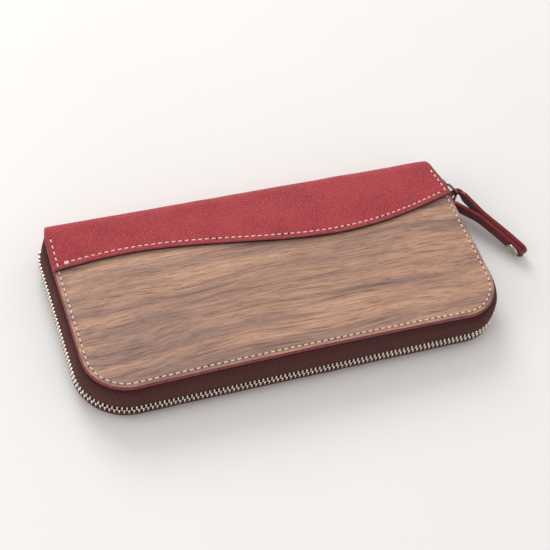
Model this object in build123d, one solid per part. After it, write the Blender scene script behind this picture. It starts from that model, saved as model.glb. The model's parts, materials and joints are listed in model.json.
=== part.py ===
from build123d import *
import math
import os

# A zip around wallet, closed, lying on its underside. Millimetres, +X along the spine,
# +Y towards the spine, +Z up. The origin is the middle of the flat underside.

# Driving dimensions
LENGTH = 200.0              # along the spine, between the covers' side edges
FRONT = -47.2               # front edge of the covers
SPINE = 47.2                # outer face of the spine
CORNER_RADIUS = 20.0        # front corners of the covers
HEIGHT = 22.4               # underside to the upper wood face
HINGE_Z = 8.6               # plane between the two rows of teeth, and of the spine's hinge

# Thicknesses of the cover layers
WOOD = 0.7
BACKING = 1.3
BOARD = 0.5
LINING = 0.6
LEATHER = 1.8
SKIVED_LEATHER = 0.7        # the flap on the underside, thinned to lie flush with the wood
LAYER_GAP = 0.05            # between stacked flat pieces

# Levels of the lower cover's layers, counted up from the outside
BOARD_Z = WOOD + BACKING
LINING_Z = BOARD_Z + BOARD
SLOT_Z = LINING_Z + LINING + LAYER_GAP

# Spine leather
SPINE_RADIUS = 7.0
COVER_BACK = SPINE - SPINE_RADIUS - 0.2
SPINE_GAP = 0.05            # half of the cut between the two halves of the spine leather
BUTT_GAP = 0.1              # between the lower wood panel and the skived flap
WAVE = [(-100, 21.5), (-72, 22.7), (-35, 19.4), (5, 12.9), (32, 10.3), (65, 12.8), (100, 21.5)]
WAVE_MARGIN = 5.0           # how far the wave's cutting region runs past the covers' sides

# Stitching
STITCH_INSET = 2.0
STITCH_PITCH = 3.15
STITCH_LENGTH = 2.3
STITCH_WIDTH = 0.5
STITCH_HEIGHT = 0.25
GROOVE_WIDTH = 0.9
GROOVE_DEPTH = 0.3
SPINE_STITCH_END = 37.5     # where the edge stitching stops short of the spine

# Zip chain
CHAIN_OFFSET = 3.0          # teeth outboard of the cover edge
TOOTH_PITCH = 2.1
TOOTH_LENGTH = 0.85
TOOTH_HALF_DEPTH = 1.25
TOOTH_SLOT_HALF = 0.3
TOOTH_HEIGHT = 2.05
ROW_GAP = 0.25              # from the hinge plane to each row's heads
TAPE = 0.5
TAPE_EDGE = 1.0             # from the hinge plane to each tape's edge
FLANGE = 6.0                # width of tape sewn between the cover layers
TAPE_BACK = 45.0
LEFT_TEETH_BACK = 39.0
LEFT_STOP_Y = 41.0
RIGHT_LOWER_TEETH_BACK = 41.4
RIGHT_UPPER_TEETH_BACK = 31.0
RIGHT_STOP_Y = 43.3
STOP_LENGTH = 1.8

# Zip slider, parked at the closed end of the right side
SLIDER_Y = 36.5
SLIDER_HALF_LENGTH = 4.5
SLIDER_TAIL_HALF = 2.9
SLIDER_NOSE_HALF = 3.4
CHANNEL_HALF = 1.45         # half of the slider's clear depth around the teeth
LIP_HALF = 0.5              # half of the slot that each tape passes through
LIP_IN = 2.5
OUTER_PLATE = 0.8
INNER_PLATE = 0.7
WEDGE_HALF = 0.15
BRIDGE_HALF_WIDTH = 1.1
BRIDGE_HALF_LENGTH = 2.7
BRIDGE_EYE_HALF = 1.4
BRIDGE_EYE_DEPTH = 1.65
BRIDGE_WALL = 0.8

# Pull link and leather strap
LINK_ANGLE = 20.0           # the link swings out from the chain by this much at rest
LINK_LENGTH = 9.6
LINK_THICKNESS = 1.1
BAR_HALF = 0.5
STRAP_THICKNESS = 2.3
STRAP_WIDTH = 7.2
NECK_WIDTH = 3.5            # the strap is cut narrower where it folds through the link
NECK_END, NECK_SHOULDER = 0.6, 3.6      # and widens again between these, past the link's bar
STRAP_TILT = 5.7            # the strap hangs down towards its tip
STRAP_ROLL = 18.0           # and its upper edge leans towards the wallet
STRAP_TIP_RADIUS = 3.2
NEAR_LEG = [(130.7, -12.4), (125.28, -2.04), (116.84, 12.61), (107.2, 23.0), (105.9, 28.7)]
FAR_LEG = [(111.9, 30.9), (113.7, 25.5), (118.88, 13.78), (127.34, -0.91), (132.78, -11.31)]
STRAP_RADII = [30.0, 30.0, 9.0, 2.6, 2.6, 25.0, 30.0, 30.0]
RIVET_FROM_TIP = 5.5
RIVET_RADIUS = 3.6
POST_RADIUS = 2.8
SHANK_RADIUS = 1.4
RIVET_HEAD = 0.6

# Leaves inside
LEAF_HALF = 84.0
LEAF_BACK = 41.0
DIVIDER_FRONT = -40.0
DIVIDER = 0.6
LOWER_DIVIDER_Z = 7.0
UPPER_DIVIDER_Z = 14.8
POCKET_FRONT = -32.8
POCKET_Z = 8.4
POCKET_TOP = 13.2
POCKET_WALL = 0.6
POCKET_BAND = 3.0           # width of the closed band round three sides of the coin pocket
SLOT_HALF = 88.0
SLOT_BACK = 38.0
SLOT_SHEET = 0.45
SLOT_STEP = 12.0
SLOT_FIRST_EDGE = -24.0
SLOT_COUNT = 4
GUSSET_INNER = 85.3
GUSSET_OUTER = 97.5
GUSSET_FRONT = -33.0
GUSSET_BACK = 38.5
GUSSET_CLEAR = 0.3

# Coin pocket zip
COIN_Z = (POCKET_Z + POCKET_TOP) / 2
COIN_Y = -33.0
COIN_TAPE = 0.4
COIN_TAPE_EDGE = 0.7
COIN_TAPE_FLANGE = 9.0
COIN_HALF = 80.0
COIN_TEETH_LEFT = -76.0
COIN_TEETH_RIGHT = 73.0
COIN_TOOTH_HALF_DEPTH = 1.15
COIN_TOOTH_HEIGHT = 1.05
COIN_STOP_X = 77.5
COIN_SLIDER_X = 70.0
COIN_SLIDER_HALF_LENGTH = 3.6
COIN_CHANNEL_HALF = 1.35
COIN_PLATE = 0.6
COIN_OUTER_HALF = 2.5
COIN_INNER_HALF = 1.2
COIN_BRIDGE_HALF = 1.6
COIN_BRIDGE_HALF_WIDTH = 0.9
COIN_EYE_HALF = 0.9
COIN_EYE_DEPTH = 1.25
COIN_PULL_LENGTH = 9.0
COIN_PULL_HALF_WIDTH = 2.0
COIN_PULL_THICKNESS = 0.8

SIDE = LENGTH / 2
CHAIN_X = SIDE + CHAIN_OFFSET
PIVOT = Vector(CHAIN_X + CHANNEL_HALF + OUTER_PLATE + BRIDGE_EYE_DEPTH / 2, SLIDER_Y, HINGE_Z)
LINK_DIRECTION = Vector(math.sin(math.radians(LINK_ANGLE)), -math.cos(math.radians(LINK_ANGLE)), 0)
STRAP_BAR = PIVOT + LINK_DIRECTION * LINK_LENGTH
STRAP_REACH = 60.0       # longer than the strap


def box(x_low, x_high, y_low, y_high, z_low, z_high):
    """Block between two corners."""
    centre = Pos((x_low + x_high) / 2, (y_low + y_high) / 2, (z_low + z_high) / 2)
    return centre * Box(x_high - x_low, y_high - y_low, z_high - z_low)


def upside_down(shape, height=HEIGHT):
    """The matching piece of the upper half of the wallet."""
    return mirror(shape, about=Plane.XY.offset(height / 2))


def raised(face, bottom, thickness):
    """A flat sheet cut to a face's outline, standing on the level called bottom."""
    return Pos(0, 0, bottom) * extrude(face, amount=thickness)


def cover_face(inset, back=COVER_BACK):
    """Outline of a cover layer: round front corners, square at the spine."""
    front = FRONT + inset
    sheet = Pos(0, (front + back) / 2) * Rectangle(LENGTH - 2 * inset, back - front)
    corners = sheet.vertices().group_by(Axis.Y)[0]
    return fillet(corners, CORNER_RADIUS - inset)


def behind_wave(shift=0.0, back=COVER_BACK):
    """Flat region between the spine leather's wavy edge, moved by shift, and back."""
    wave = Spline(*[(x, y + shift) for x, y in WAVE])
    start, end = wave @ 0, wave @ 1
    outside = SIDE + WAVE_MARGIN
    border = Polyline(end, (outside, end.Y), (outside, back), (-outside, back), (-outside, start.Y), start)
    return make_face(wave.edges() + border.edges())


def ribbon(points, thickness):
    """Outline of a bent strip of even thickness whose middle line runs through points."""
    middle = [Vector(*point) for point in points]
    runs = [(end - start).normalized() for start, end in zip(middle, middle[1:])]
    left, right = [], []
    for point, before, after in zip(middle, [runs[0]] + runs, runs + [runs[-1]]):
        along = (before + after).normalized()
        across = Vector(-along.Y, along.X) * (thickness / 2 / along.dot(before))
        left.append(point + across)
        right.append(point - across)
    return make_face(Polyline(*left, *reversed(right), left[0]).edges())


def edge_path(outset, right_back, left_back):
    """Line round the right side, front and left side of the covers, outset from their edge."""
    side = SIDE + outset
    front = FRONT - outset
    corners = [(side, right_back), (side, front), (-side, front), (-side, left_back)]
    return FilletPolyline(*corners, radius=CORNER_RADIUS + outset)


def plane_along(path, distance):
    """Plane across a path: its x axis points away from the wallet and its y axis up."""
    here = path.position_at(distance, position_mode=PositionMode.LENGTH)
    along = path.tangent_at(distance, position_mode=PositionMode.LENGTH)
    outward = Vector(0, 0, 1).cross(along)
    return Plane(origin=here, x_dir=outward, z_dir=along)


def pieces_along(path, section, piece_length, first, last, pitch):
    """Separate copies of a section, extruded along a path at an even pitch."""
    count = int((last - first) / pitch) + 1
    half = piece_length / 2
    return [
        extrude(plane_along(path, first + i * pitch) * section, amount=half, both=True)
        for i in range(count)
    ]


# Covers

def wood_panels():
    """Walnut veneer panels. The lower one stops at the skived flap; both are grooved for thread."""
    edge_groove = raised(stitch_ring(), 0, GROOVE_DEPTH)
    lower = raised(cover_face(0) - behind_wave(-BUTT_GAP, SPINE), 0, WOOD) - edge_groove
    upper = upside_down(raised(cover_face(0), 0, WOOD))
    return {"lower_wood_panel": lower, "upper_wood_panel": upper}


def cover_layers():
    """Leather backing with the painted edge, card stiffener and inner lining of each cover."""
    layers = {
        "cover_backing": raised(cover_face(0), WOOD, BACKING),
        "stiffener_board": raised(cover_face(FLANGE + 0.3, COVER_BACK - 1), BOARD_Z, BOARD),
        "lining": raised(cover_face(1.2), LINING_Z, LINING),
    }
    lower = {"lower_" + name: layer for name, layer in layers.items()}
    upper = {"upper_" + name: upside_down(layer) for name, layer in layers.items()}
    return {**lower, **upper}


def card_slots():
    """Four stepped card sheets inside each cover, each open towards the front."""
    slots = {}
    for i in range(SLOT_COUNT):
        bottom = SLOT_Z + i * (SLOT_SHEET + LAYER_GAP)
        front = SLOT_FIRST_EDGE + i * SLOT_STEP
        sheet = box(-SLOT_HALF, SLOT_HALF, front, SLOT_BACK, bottom, bottom + SLOT_SHEET)
        slots[f"lower_card_slot_{i + 1}"] = sheet
        slots[f"upper_card_slot_{i + 1}"] = upside_down(sheet)
    return slots


# Spine leather

def spine_curl(rise):
    """Half of the rolled spine: it leaves the underside, turns upwards and rises to a height."""
    centre = (SPINE - SPINE_RADIUS, SPINE_RADIUS)
    inner = SPINE - LEATHER
    lines = [
        CenterArc(centre, SPINE_RADIUS, -90, 90),
        Polyline((SPINE, SPINE_RADIUS), (SPINE, rise), (inner, rise), (inner, SPINE_RADIUS)),
        CenterArc(centre, SPINE_RADIUS - LEATHER, -90, 90),
        Line((centre[0], LEATHER), (centre[0], 0)),
    ]
    section = make_face([edge for line in lines for edge in line.edges()])
    return extrude(Plane.YZ * section, amount=SIDE, both=True)


def flap(thickness):
    """Flat part of the spine leather, from its wavy edge to the start of the curl."""
    back = SPINE - SPINE_RADIUS
    sheet = Pos(0, back / 2) * Rectangle(LENGTH, back)
    return extrude(sheet & behind_wave(0, back), amount=thickness)


def spine_leather():
    """The red leather in two halves that meet at the hinge plane."""
    top = HEIGHT + LEATHER
    lower = spine_curl(HINGE_Z - SPINE_GAP) + flap(SKIVED_LEATHER)
    lower -= raised(stitch_ring(), 0, GROOVE_DEPTH)
    lower -= raised(wave_ring(), 0, GROOVE_DEPTH)
    upper = spine_curl(top - HINGE_Z - SPINE_GAP) + flap(LEATHER)
    return {"spine_leather_lower": lower, "spine_leather_upper": upside_down(upper, top)}


# Stitching

def stitch_ring():
    """Outline of the groove for the stitching round the edge."""
    outer = cover_face(STITCH_INSET - GROOVE_WIDTH / 2, SPINE_STITCH_END + STITCH_LENGTH)
    inner = cover_face(STITCH_INSET + GROOVE_WIDTH / 2, SPINE)
    return outer - inner


def wave_ring():
    """Outline of the groove for the stitching along the wavy edge."""
    side = SIDE - STITCH_INSET - GROOVE_WIDTH
    band = behind_wave(STITCH_INSET - GROOVE_WIDTH / 2) - behind_wave(STITCH_INSET + GROOVE_WIDTH / 2, SPINE)
    return band & Rectangle(2 * side, 2 * SPINE)


def stitches(path, first, last, bottom):
    """Separate thread stitches along a path, standing on a level."""
    half = STITCH_WIDTH / 2
    section = make_face(Polyline((-half, bottom), (half, bottom), (half, bottom + STITCH_HEIGHT),
                                 (-half, bottom + STITCH_HEIGHT), (-half, bottom)).edges())
    return pieces_along(path, section, STITCH_LENGTH, first, last, STITCH_PITCH)


def threads():
    """Waxed thread round the edge and along the wavy edge, on the outside of both covers."""
    edge = edge_path(-STITCH_INSET, SPINE_STITCH_END, SPINE_STITCH_END)
    wave = Spline(*[(x, y + STITCH_INSET) for x, y in reversed(WAVE)])
    wave_margin = 3 * STITCH_INSET
    on_leather = HEIGHT + LEATHER + LAYER_GAP
    on_wood = HEIGHT + LAYER_GAP
    end_of_leather = SPINE_STITCH_END - WAVE[0][1] + STITCH_INSET
    upper_edge = (
        stitches(edge, STITCH_LENGTH, end_of_leather, on_leather)
        + stitches(edge, end_of_leather + STITCH_PITCH, edge.length - end_of_leather, on_wood)
        + stitches(edge, edge.length - end_of_leather + STITCH_PITCH, edge.length, on_leather)
    )
    return {
        "upper_edge_thread": Compound(upper_edge),
        "upper_wave_thread": Compound(stitches(wave, wave_margin, wave.length - wave_margin, on_leather)),
        "lower_edge_thread": Compound(stitches(edge, STITCH_LENGTH, edge.length, LAYER_GAP / 2)),
        "lower_wave_thread": Compound(stitches(wave, wave_margin, wave.length - wave_margin, LAYER_GAP / 2)),
    }


# Zip round the edge

def zip_tape(flange_bottom, wall):
    """One tape: a flange sewn between the cover layers, and a wall that bulges out to the teeth."""
    flange = raised(cover_face(0) - cover_face(FLANGE, SPINE), flange_bottom, TAPE)
    path = edge_path(0, TAPE_BACK, TAPE_BACK)
    section = plane_along(path, 0) * ribbon(wall, TAPE)
    return flange + sweep(section, path=path)


def zip_tapes():
    """Lower and upper tape, each ending clear of the hinge plane."""
    low = BOARD_Z + TAPE / 2
    high = HEIGHT - low
    rim = CHAIN_OFFSET - 0.8
    lower_wall = [(0, low), (0.2, low), (rim, low + 1.4), (CHAIN_OFFSET, low + 3),
                  (CHAIN_OFFSET, HINGE_Z - TAPE_EDGE)]
    upper_wall = [(0, high), (0.2, high), (rim, high - 2.6), (CHAIN_OFFSET, high - 5.6),
                  (CHAIN_OFFSET, HINGE_Z + TAPE_EDGE)]
    return {"lower_zip_tape": zip_tape(BOARD_Z, lower_wall),
            "upper_zip_tape": zip_tape(HEIGHT - BOARD_Z - TAPE, upper_wall)}


def clamp_section(side, half_depth, tape_edge, height):
    """Section of a tooth or stop: a head with two legs that clamp the tape's edge.
    side is -1 for the lower row and +1 for the upper row."""
    slot = TOOTH_SLOT_HALF
    head = ROW_GAP
    base = head + height
    slot_end = tape_edge - LAYER_GAP
    outline = [(-half_depth, head), (half_depth, head), (half_depth, base), (slot, base),
               (slot, slot_end), (-slot, slot_end), (-slot, base), (-half_depth, base)]
    turned = [(x, side * z) for x, z in outline]
    return make_face(Polyline(*turned, turned[0]).edges())


def zip_chain():
    """Both rows of metal teeth, half a pitch apart, and the stops at the ends of each row."""
    path = edge_path(CHAIN_OFFSET, TAPE_BACK, TAPE_BACK)
    end = path.length - (TAPE_BACK - LEFT_TEETH_BACK)
    starts = {-1: TAPE_BACK - RIGHT_LOWER_TEETH_BACK, 1: TAPE_BACK - RIGHT_UPPER_TEETH_BACK}
    names = {-1: "lower", 1: "upper"}
    parts = {}
    for side, name in names.items():
        section = Pos(0, HINGE_Z) * clamp_section(side, TOOTH_HALF_DEPTH, TAPE_EDGE, TOOTH_HEIGHT)
        phase = math.ceil(starts[side] / TOOTH_PITCH) * TOOTH_PITCH + side * TOOTH_PITCH / 4
        teeth = pieces_along(path, section, TOOTH_LENGTH, phase, end, TOOTH_PITCH)
        places = [TAPE_BACK - RIGHT_STOP_Y, path.length - (TAPE_BACK - LEFT_STOP_Y)]
        stops = [extrude(plane_along(path, d) * section, amount=STOP_LENGTH / 2, both=True) for d in places]
        parts[name + "_zip_teeth"] = Compound(teeth)
        parts[name + "_end_stops"] = Compound(stops)
    return parts


def slider_plate(inner_x, thickness):
    """One face plate of the slider, wide at the nose and narrow at the tail."""
    tail, nose = SLIDER_TAIL_HALF, SLIDER_NOSE_HALF
    half = SLIDER_HALF_LENGTH
    outline = [(-half, -tail), (0, -tail), (half / 3, -nose), (half - 1.2, -nose), (half, -nose + 1.4),
               (half, nose - 1.4), (half - 1.2, nose), (half / 3, nose), (0, tail), (-half, tail), (-half, -tail)]
    plate = extrude(Plane.YZ * make_face(Polyline(*outline).edges()), amount=thickness)
    return Pos(inner_x, SLIDER_Y, HINGE_Z) * plate


def zip_slider():
    """Slider body: two plates, lips that hold the tapes in, the wedge and the bridge for the pull."""
    outer = CHAIN_X + CHANNEL_HALF
    inner = CHAIN_X - CHANNEL_HALF
    tail = SLIDER_Y - SLIDER_HALF_LENGTH
    body = slider_plate(outer, OUTER_PLATE) + slider_plate(inner - INNER_PLATE, INNER_PLATE)
    for side in (-1, 1):
        low, high = sorted((HINGE_Z + side * LIP_IN, HINGE_Z + side * SLIDER_TAIL_HALF))
        body += box(CHAIN_X + LIP_HALF, outer, tail, SLIDER_Y + 3, low, high)
        body += box(inner, CHAIN_X - LIP_HALF, tail, SLIDER_Y + 3, low, high)
    body += box(inner, outer, SLIDER_Y + 2.6, SLIDER_Y + 4.3, HINGE_Z - WEDGE_HALF, HINGE_Z + WEDGE_HALF)
    base = outer + OUTER_PLATE
    crown = base + BRIDGE_EYE_DEPTH + BRIDGE_WALL
    width = (HINGE_Z - BRIDGE_HALF_WIDTH, HINGE_Z + BRIDGE_HALF_WIDTH)
    bridge = box(base, crown, SLIDER_Y - BRIDGE_HALF_LENGTH, SLIDER_Y + BRIDGE_HALF_LENGTH, *width)
    bridge = chamfer(bridge.faces().sort_by(Axis.X)[-1].edges().filter_by(Axis.Z), 0.7)
    eye = box(base, base + BRIDGE_EYE_DEPTH, SLIDER_Y - BRIDGE_EYE_HALF, SLIDER_Y + BRIDGE_EYE_HALF, *width)
    return {"zip_slider_body": body + (bridge - eye)}


def pull_link():
    """Flat metal link: a narrow eye round the slider's bridge and a wider one for the strap."""
    tip = LINK_LENGTH + BAR_HALF
    outer = [(-BAR_HALF, -2.4), (2.1, -2.4), (3.3, -3.8), (tip, -3.8),
             (tip, 3.8), (3.3, 3.8), (2.1, 2.4), (-BAR_HALF, 2.4), (-BAR_HALF, -2.4)]
    hole = [(BAR_HALF, -1.35), (2.7, -1.35), (3.9, -2.95), (tip - 2 * BAR_HALF, -2.95),
            (tip - 2 * BAR_HALF, 2.95), (3.9, 2.95), (2.7, 1.35), (BAR_HALF, 1.35), (BAR_HALF, -1.35)]
    frame = make_face(Polyline(*outer).edges()) - make_face(Polyline(*hole).edges())
    plane = Plane(origin=PIVOT, x_dir=LINK_DIRECTION, z_dir=LINK_DIRECTION.cross(Vector(0, 0, 1)))
    return {"pull_link": extrude(plane * frame, amount=LINK_THICKNESS / 2, both=True)}


def strap_run():
    """The way the strap runs from the link's bar to its tip, seen from above."""
    tip = Vector(*NEAR_LEG[0], HINGE_Z)
    return Vector(tip.X - STRAP_BAR.X, tip.Y - STRAP_BAR.Y, 0).normalized()


def strap_side_view():
    """Block with the strap's outline as seen from its side, narrower at the link."""
    neck, shoulder = NECK_WIDTH / 2, STRAP_WIDTH / 2 + 0.3
    outline = [(-STRAP_REACH, -neck), (NECK_END, -neck), (NECK_SHOULDER, -shoulder), (STRAP_REACH, -shoulder),
               (STRAP_REACH, shoulder), (NECK_SHOULDER, shoulder), (NECK_END, neck), (-STRAP_REACH, neck),
               (-STRAP_REACH, -neck)]
    plane = Plane(origin=STRAP_BAR, x_dir=strap_run(), z_dir=Vector(0, 0, 1).cross(strap_run()))
    return extrude(plane * make_face(Polyline(*outline).edges()), amount=STRAP_REACH, both=True)


def hang(shape):
    """Roll a piece of the strap about its own length, then tilt it down about the link's bar."""
    run = strap_run()
    rolled = shape.rotate(Axis(STRAP_BAR, run), STRAP_ROLL)
    return rolled.rotate(Axis(STRAP_BAR, Vector(0, 0, 1).cross(run)), STRAP_TILT)


def rivet_plane():
    """Plane between the strap's two legs at the rivet, facing the far leg."""
    tip, bend = (Vector(*point, HINGE_Z) for point in NEAR_LEG[:2])
    along = (tip - bend).normalized()
    across = Vector(0, 0, 1).cross(along)
    centre = tip - along * RIVET_FROM_TIP + across * (STRAP_THICKNESS + LAYER_GAP) / 2
    return Plane(origin=centre, x_dir=(0, 0, 1), z_dir=across)


def pull_strap():
    """Leather strap folded through the link, and the two halves of the rivet that closes it."""
    path = FilletPolyline(*NEAR_LEG, *FAR_LEG, radius=STRAP_RADII)
    path = Pos(0, 0, HINGE_Z) * path
    section = Plane(origin=path @ 0, x_dir=(0, 0, 1), z_dir=path % 0) * Rectangle(STRAP_WIDTH, STRAP_THICKNESS)
    strap = sweep(section, path=path)
    tips = [strap.faces().sort_by_distance(end)[0] for end in (path @ 0, path @ 1)]
    corners = [edge for tip in tips for edge in tip.edges().sort_by(SortBy.LENGTH)[:2]]
    strap = fillet(corners, STRAP_TIP_RADIUS) & strap_side_view()
    plane = rivet_plane()
    reach = STRAP_THICKNESS + LAYER_GAP
    strap -= extrude(plane * Circle(SHANK_RADIUS + LAYER_GAP), amount=reach + 1, both=True)
    shank = extrude(plane * Circle(SHANK_RADIUS), amount=reach, both=True)
    head = extrude(plane.offset(reach) * Circle(POST_RADIUS), amount=RIVET_HEAD)
    cap = extrude(plane.offset(-reach - RIVET_HEAD) * Circle(RIVET_RADIUS), amount=RIVET_HEAD)
    head = fillet(head.edges().filter_by(GeomType.CIRCLE).sort_by_distance(plane.origin)[-1], RIVET_HEAD / 2)
    cap = fillet(cap.edges().filter_by(GeomType.CIRCLE).sort_by_distance(plane.origin)[-1], RIVET_HEAD / 2)
    return {"strap_leather": hang(strap), "rivet_post": hang(shank + head), "rivet_cap": hang(cap)}


# Inside

def leaves():
    """Two banknote dividers and the walls of the coin pocket between them."""
    def leaf(front, bottom, thickness):
        return box(-LEAF_HALF, LEAF_HALF, front, LEAF_BACK, bottom, bottom + thickness)
    hollow = box(-LEAF_HALF + POCKET_BAND, LEAF_HALF - POCKET_BAND, POCKET_FRONT - 1,
                 LEAF_BACK - POCKET_BAND, POCKET_Z, POCKET_TOP)
    band = leaf(POCKET_FRONT + 1, POCKET_Z + POCKET_WALL, POCKET_TOP - POCKET_Z - 2 * POCKET_WALL) - hollow
    return {
        "lower_note_divider": leaf(DIVIDER_FRONT, LOWER_DIVIDER_Z, DIVIDER),
        "upper_note_divider": leaf(DIVIDER_FRONT, UPPER_DIVIDER_Z, DIVIDER),
        "coin_pocket_lower_wall": leaf(POCKET_FRONT, POCKET_Z, POCKET_WALL),
        "coin_pocket_upper_wall": leaf(POCKET_FRONT, POCKET_TOP - POCKET_WALL, POCKET_WALL),
        "coin_pocket_edge_band": band,
    }


def gussets():
    """Folded fabric gussets that join the leaves to the covers at each side."""
    slots_top = SLOT_Z + SLOT_COUNT * (SLOT_SHEET + LAYER_GAP)
    right = box(GUSSET_INNER, GUSSET_OUTER, GUSSET_FRONT, GUSSET_BACK,
                slots_top + GUSSET_CLEAR, HEIGHT - slots_top - GUSSET_CLEAR)
    return {"right_gusset": right, "left_gusset": mirror(right, about=Plane.YZ)}


def coin_zip():
    """Tapes, teeth and stops of the coin pocket's zip, straight along the pocket's front."""
    parts = {}
    teeth = []
    stops = []
    pocket_inside = POCKET_TOP - POCKET_WALL - LAYER_GAP
    for side, name in ((-1, "lower"), (1, "upper")):
        wall_z = side * (pocket_inside - COIN_Z)
        mid = wall_z - side * COIN_TAPE / 2
        line = [(0, side * COIN_TAPE_EDGE), (0, mid), (-COIN_TAPE_FLANGE, mid)]
        plane = Plane(origin=(0, COIN_Y, COIN_Z), x_dir=(0, -1, 0), z_dir=(-1, 0, 0))
        parts[f"coin_zip_{name}_tape"] = extrude(plane * ribbon(line, COIN_TAPE), amount=COIN_HALF, both=True)
        section = plane * clamp_section(side, COIN_TOOTH_HALF_DEPTH, COIN_TAPE_EDGE, COIN_TOOTH_HEIGHT)
        tooth = extrude(section, amount=TOOTH_LENGTH / 2, both=True)
        stop = extrude(section, amount=STOP_LENGTH / 2, both=True)
        count = int((COIN_TEETH_RIGHT - COIN_TEETH_LEFT) / TOOTH_PITCH)
        start = COIN_TEETH_LEFT + side * TOOTH_PITCH / 4
        teeth += [Pos(start + i * TOOTH_PITCH, 0, 0) * tooth for i in range(count + 1)]
        stops += [Pos(x, 0, 0) * stop for x in (-COIN_STOP_X - 1, COIN_STOP_X)]
    parts["coin_zip_teeth"] = Compound(teeth)
    parts["coin_zip_stops"] = Compound(stops)
    return parts


def coin_slider():
    """Small slider of the coin pocket and its flat pull tab, lying along the zip."""
    outer = COIN_Y - COIN_CHANNEL_HALF
    inner = COIN_Y + COIN_CHANNEL_HALF
    low, high = COIN_SLIDER_X - COIN_SLIDER_HALF_LENGTH, COIN_SLIDER_X + COIN_SLIDER_HALF_LENGTH
    base = outer - COIN_PLATE
    body = box(low, high, base, outer, COIN_Z - COIN_OUTER_HALF, COIN_Z + COIN_OUTER_HALF)
    body += box(low, high, inner, inner + COIN_PLATE, COIN_Z - COIN_INNER_HALF, COIN_Z + COIN_INNER_HALF)
    body += box(high - 1.6, high - 0.3, outer, inner, COIN_Z - WEDGE_HALF, COIN_Z + WEDGE_HALF)
    width = (COIN_Z - COIN_BRIDGE_HALF_WIDTH, COIN_Z + COIN_BRIDGE_HALF_WIDTH)
    crown = base - COIN_EYE_DEPTH - COIN_PLATE
    body += box(COIN_SLIDER_X - COIN_BRIDGE_HALF, COIN_SLIDER_X + COIN_BRIDGE_HALF, crown, base, *width)
    body -= box(COIN_SLIDER_X - COIN_EYE_HALF, COIN_SLIDER_X + COIN_EYE_HALF,
                base - COIN_EYE_DEPTH, base, *width)
    half = COIN_PULL_THICKNESS / 2
    tab = Pos(COIN_PULL_LENGTH / 2 - half, 0) * Rectangle(COIN_PULL_LENGTH, 2 * COIN_PULL_HALF_WIDTH)
    tab = fillet(tab.vertices().group_by(Axis.X)[-1], COIN_PULL_HALF_WIDTH * 0.9)
    tab -= Pos(half + 1.5, 0) * Rectangle(3.0, 2 * (COIN_BRIDGE_HALF_WIDTH + 0.2))
    plane = Plane(origin=(COIN_SLIDER_X, base - COIN_EYE_DEPTH / 2, COIN_Z), x_dir=(1, 0, 0), z_dir=(0, -1, 0))
    pull = extrude(plane * tab, amount=half, both=True)
    return {"coin_slider_body": body, "coin_pull_tab": pull}


def main():
    os.makedirs("parts", exist_ok=True)
    groups = (wood_panels, cover_layers, card_slots, spine_leather, threads, zip_tapes, zip_chain,
              zip_slider, pull_link, pull_strap, leaves, gussets, coin_zip, coin_slider)
    for group in groups:
        for name, shape in group().items():
            export_step(shape, f"parts/{name}.step")


main()
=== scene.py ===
import json
import math

import bmesh
import bpy
import numpy as np
from mathutils import Matrix, Vector, noise


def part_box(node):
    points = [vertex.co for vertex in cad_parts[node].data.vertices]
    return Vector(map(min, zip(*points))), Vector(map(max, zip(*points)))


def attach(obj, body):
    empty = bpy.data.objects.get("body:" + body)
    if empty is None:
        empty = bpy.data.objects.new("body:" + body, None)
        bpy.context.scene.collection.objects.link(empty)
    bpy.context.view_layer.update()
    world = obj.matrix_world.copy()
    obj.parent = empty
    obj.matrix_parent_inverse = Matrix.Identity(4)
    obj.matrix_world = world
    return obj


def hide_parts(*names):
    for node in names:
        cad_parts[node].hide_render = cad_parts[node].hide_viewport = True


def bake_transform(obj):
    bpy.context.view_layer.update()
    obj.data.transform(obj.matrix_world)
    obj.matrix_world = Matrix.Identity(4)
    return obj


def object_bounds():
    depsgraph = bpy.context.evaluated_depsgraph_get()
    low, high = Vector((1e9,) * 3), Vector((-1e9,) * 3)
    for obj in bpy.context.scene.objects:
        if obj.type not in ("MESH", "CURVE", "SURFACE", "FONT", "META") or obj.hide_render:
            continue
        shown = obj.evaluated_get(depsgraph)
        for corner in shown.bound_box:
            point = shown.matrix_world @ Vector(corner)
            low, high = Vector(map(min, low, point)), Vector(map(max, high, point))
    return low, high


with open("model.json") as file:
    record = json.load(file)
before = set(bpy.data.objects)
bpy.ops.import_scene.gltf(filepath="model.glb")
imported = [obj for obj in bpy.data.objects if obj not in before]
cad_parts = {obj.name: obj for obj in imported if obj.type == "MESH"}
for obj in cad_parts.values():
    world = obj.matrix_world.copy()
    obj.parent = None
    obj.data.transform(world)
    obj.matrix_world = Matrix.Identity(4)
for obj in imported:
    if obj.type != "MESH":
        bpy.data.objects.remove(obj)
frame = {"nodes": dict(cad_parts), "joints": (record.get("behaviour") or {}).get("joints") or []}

cad_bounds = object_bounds()

# The looks of a zip around wallet. Sizes are in millimetres and become metres in add_piece.
MM = 0.001

# Read from the frame
panel_low, panel_high = (np.array(corner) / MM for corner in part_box("upper_wood_panel"))
SIDE = panel_high[0]
FRONT = panel_low[1]
COVER_BACK = panel_high[1]
HEIGHT = panel_high[2]
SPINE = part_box("spine_leather_upper")[1][1] / MM
cover_hinge = next(joint for joint in frame["joints"] if joint["name"] == "cover_open")
HINGE_Z = cover_hinge["pos_m"][2] / MM

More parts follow.
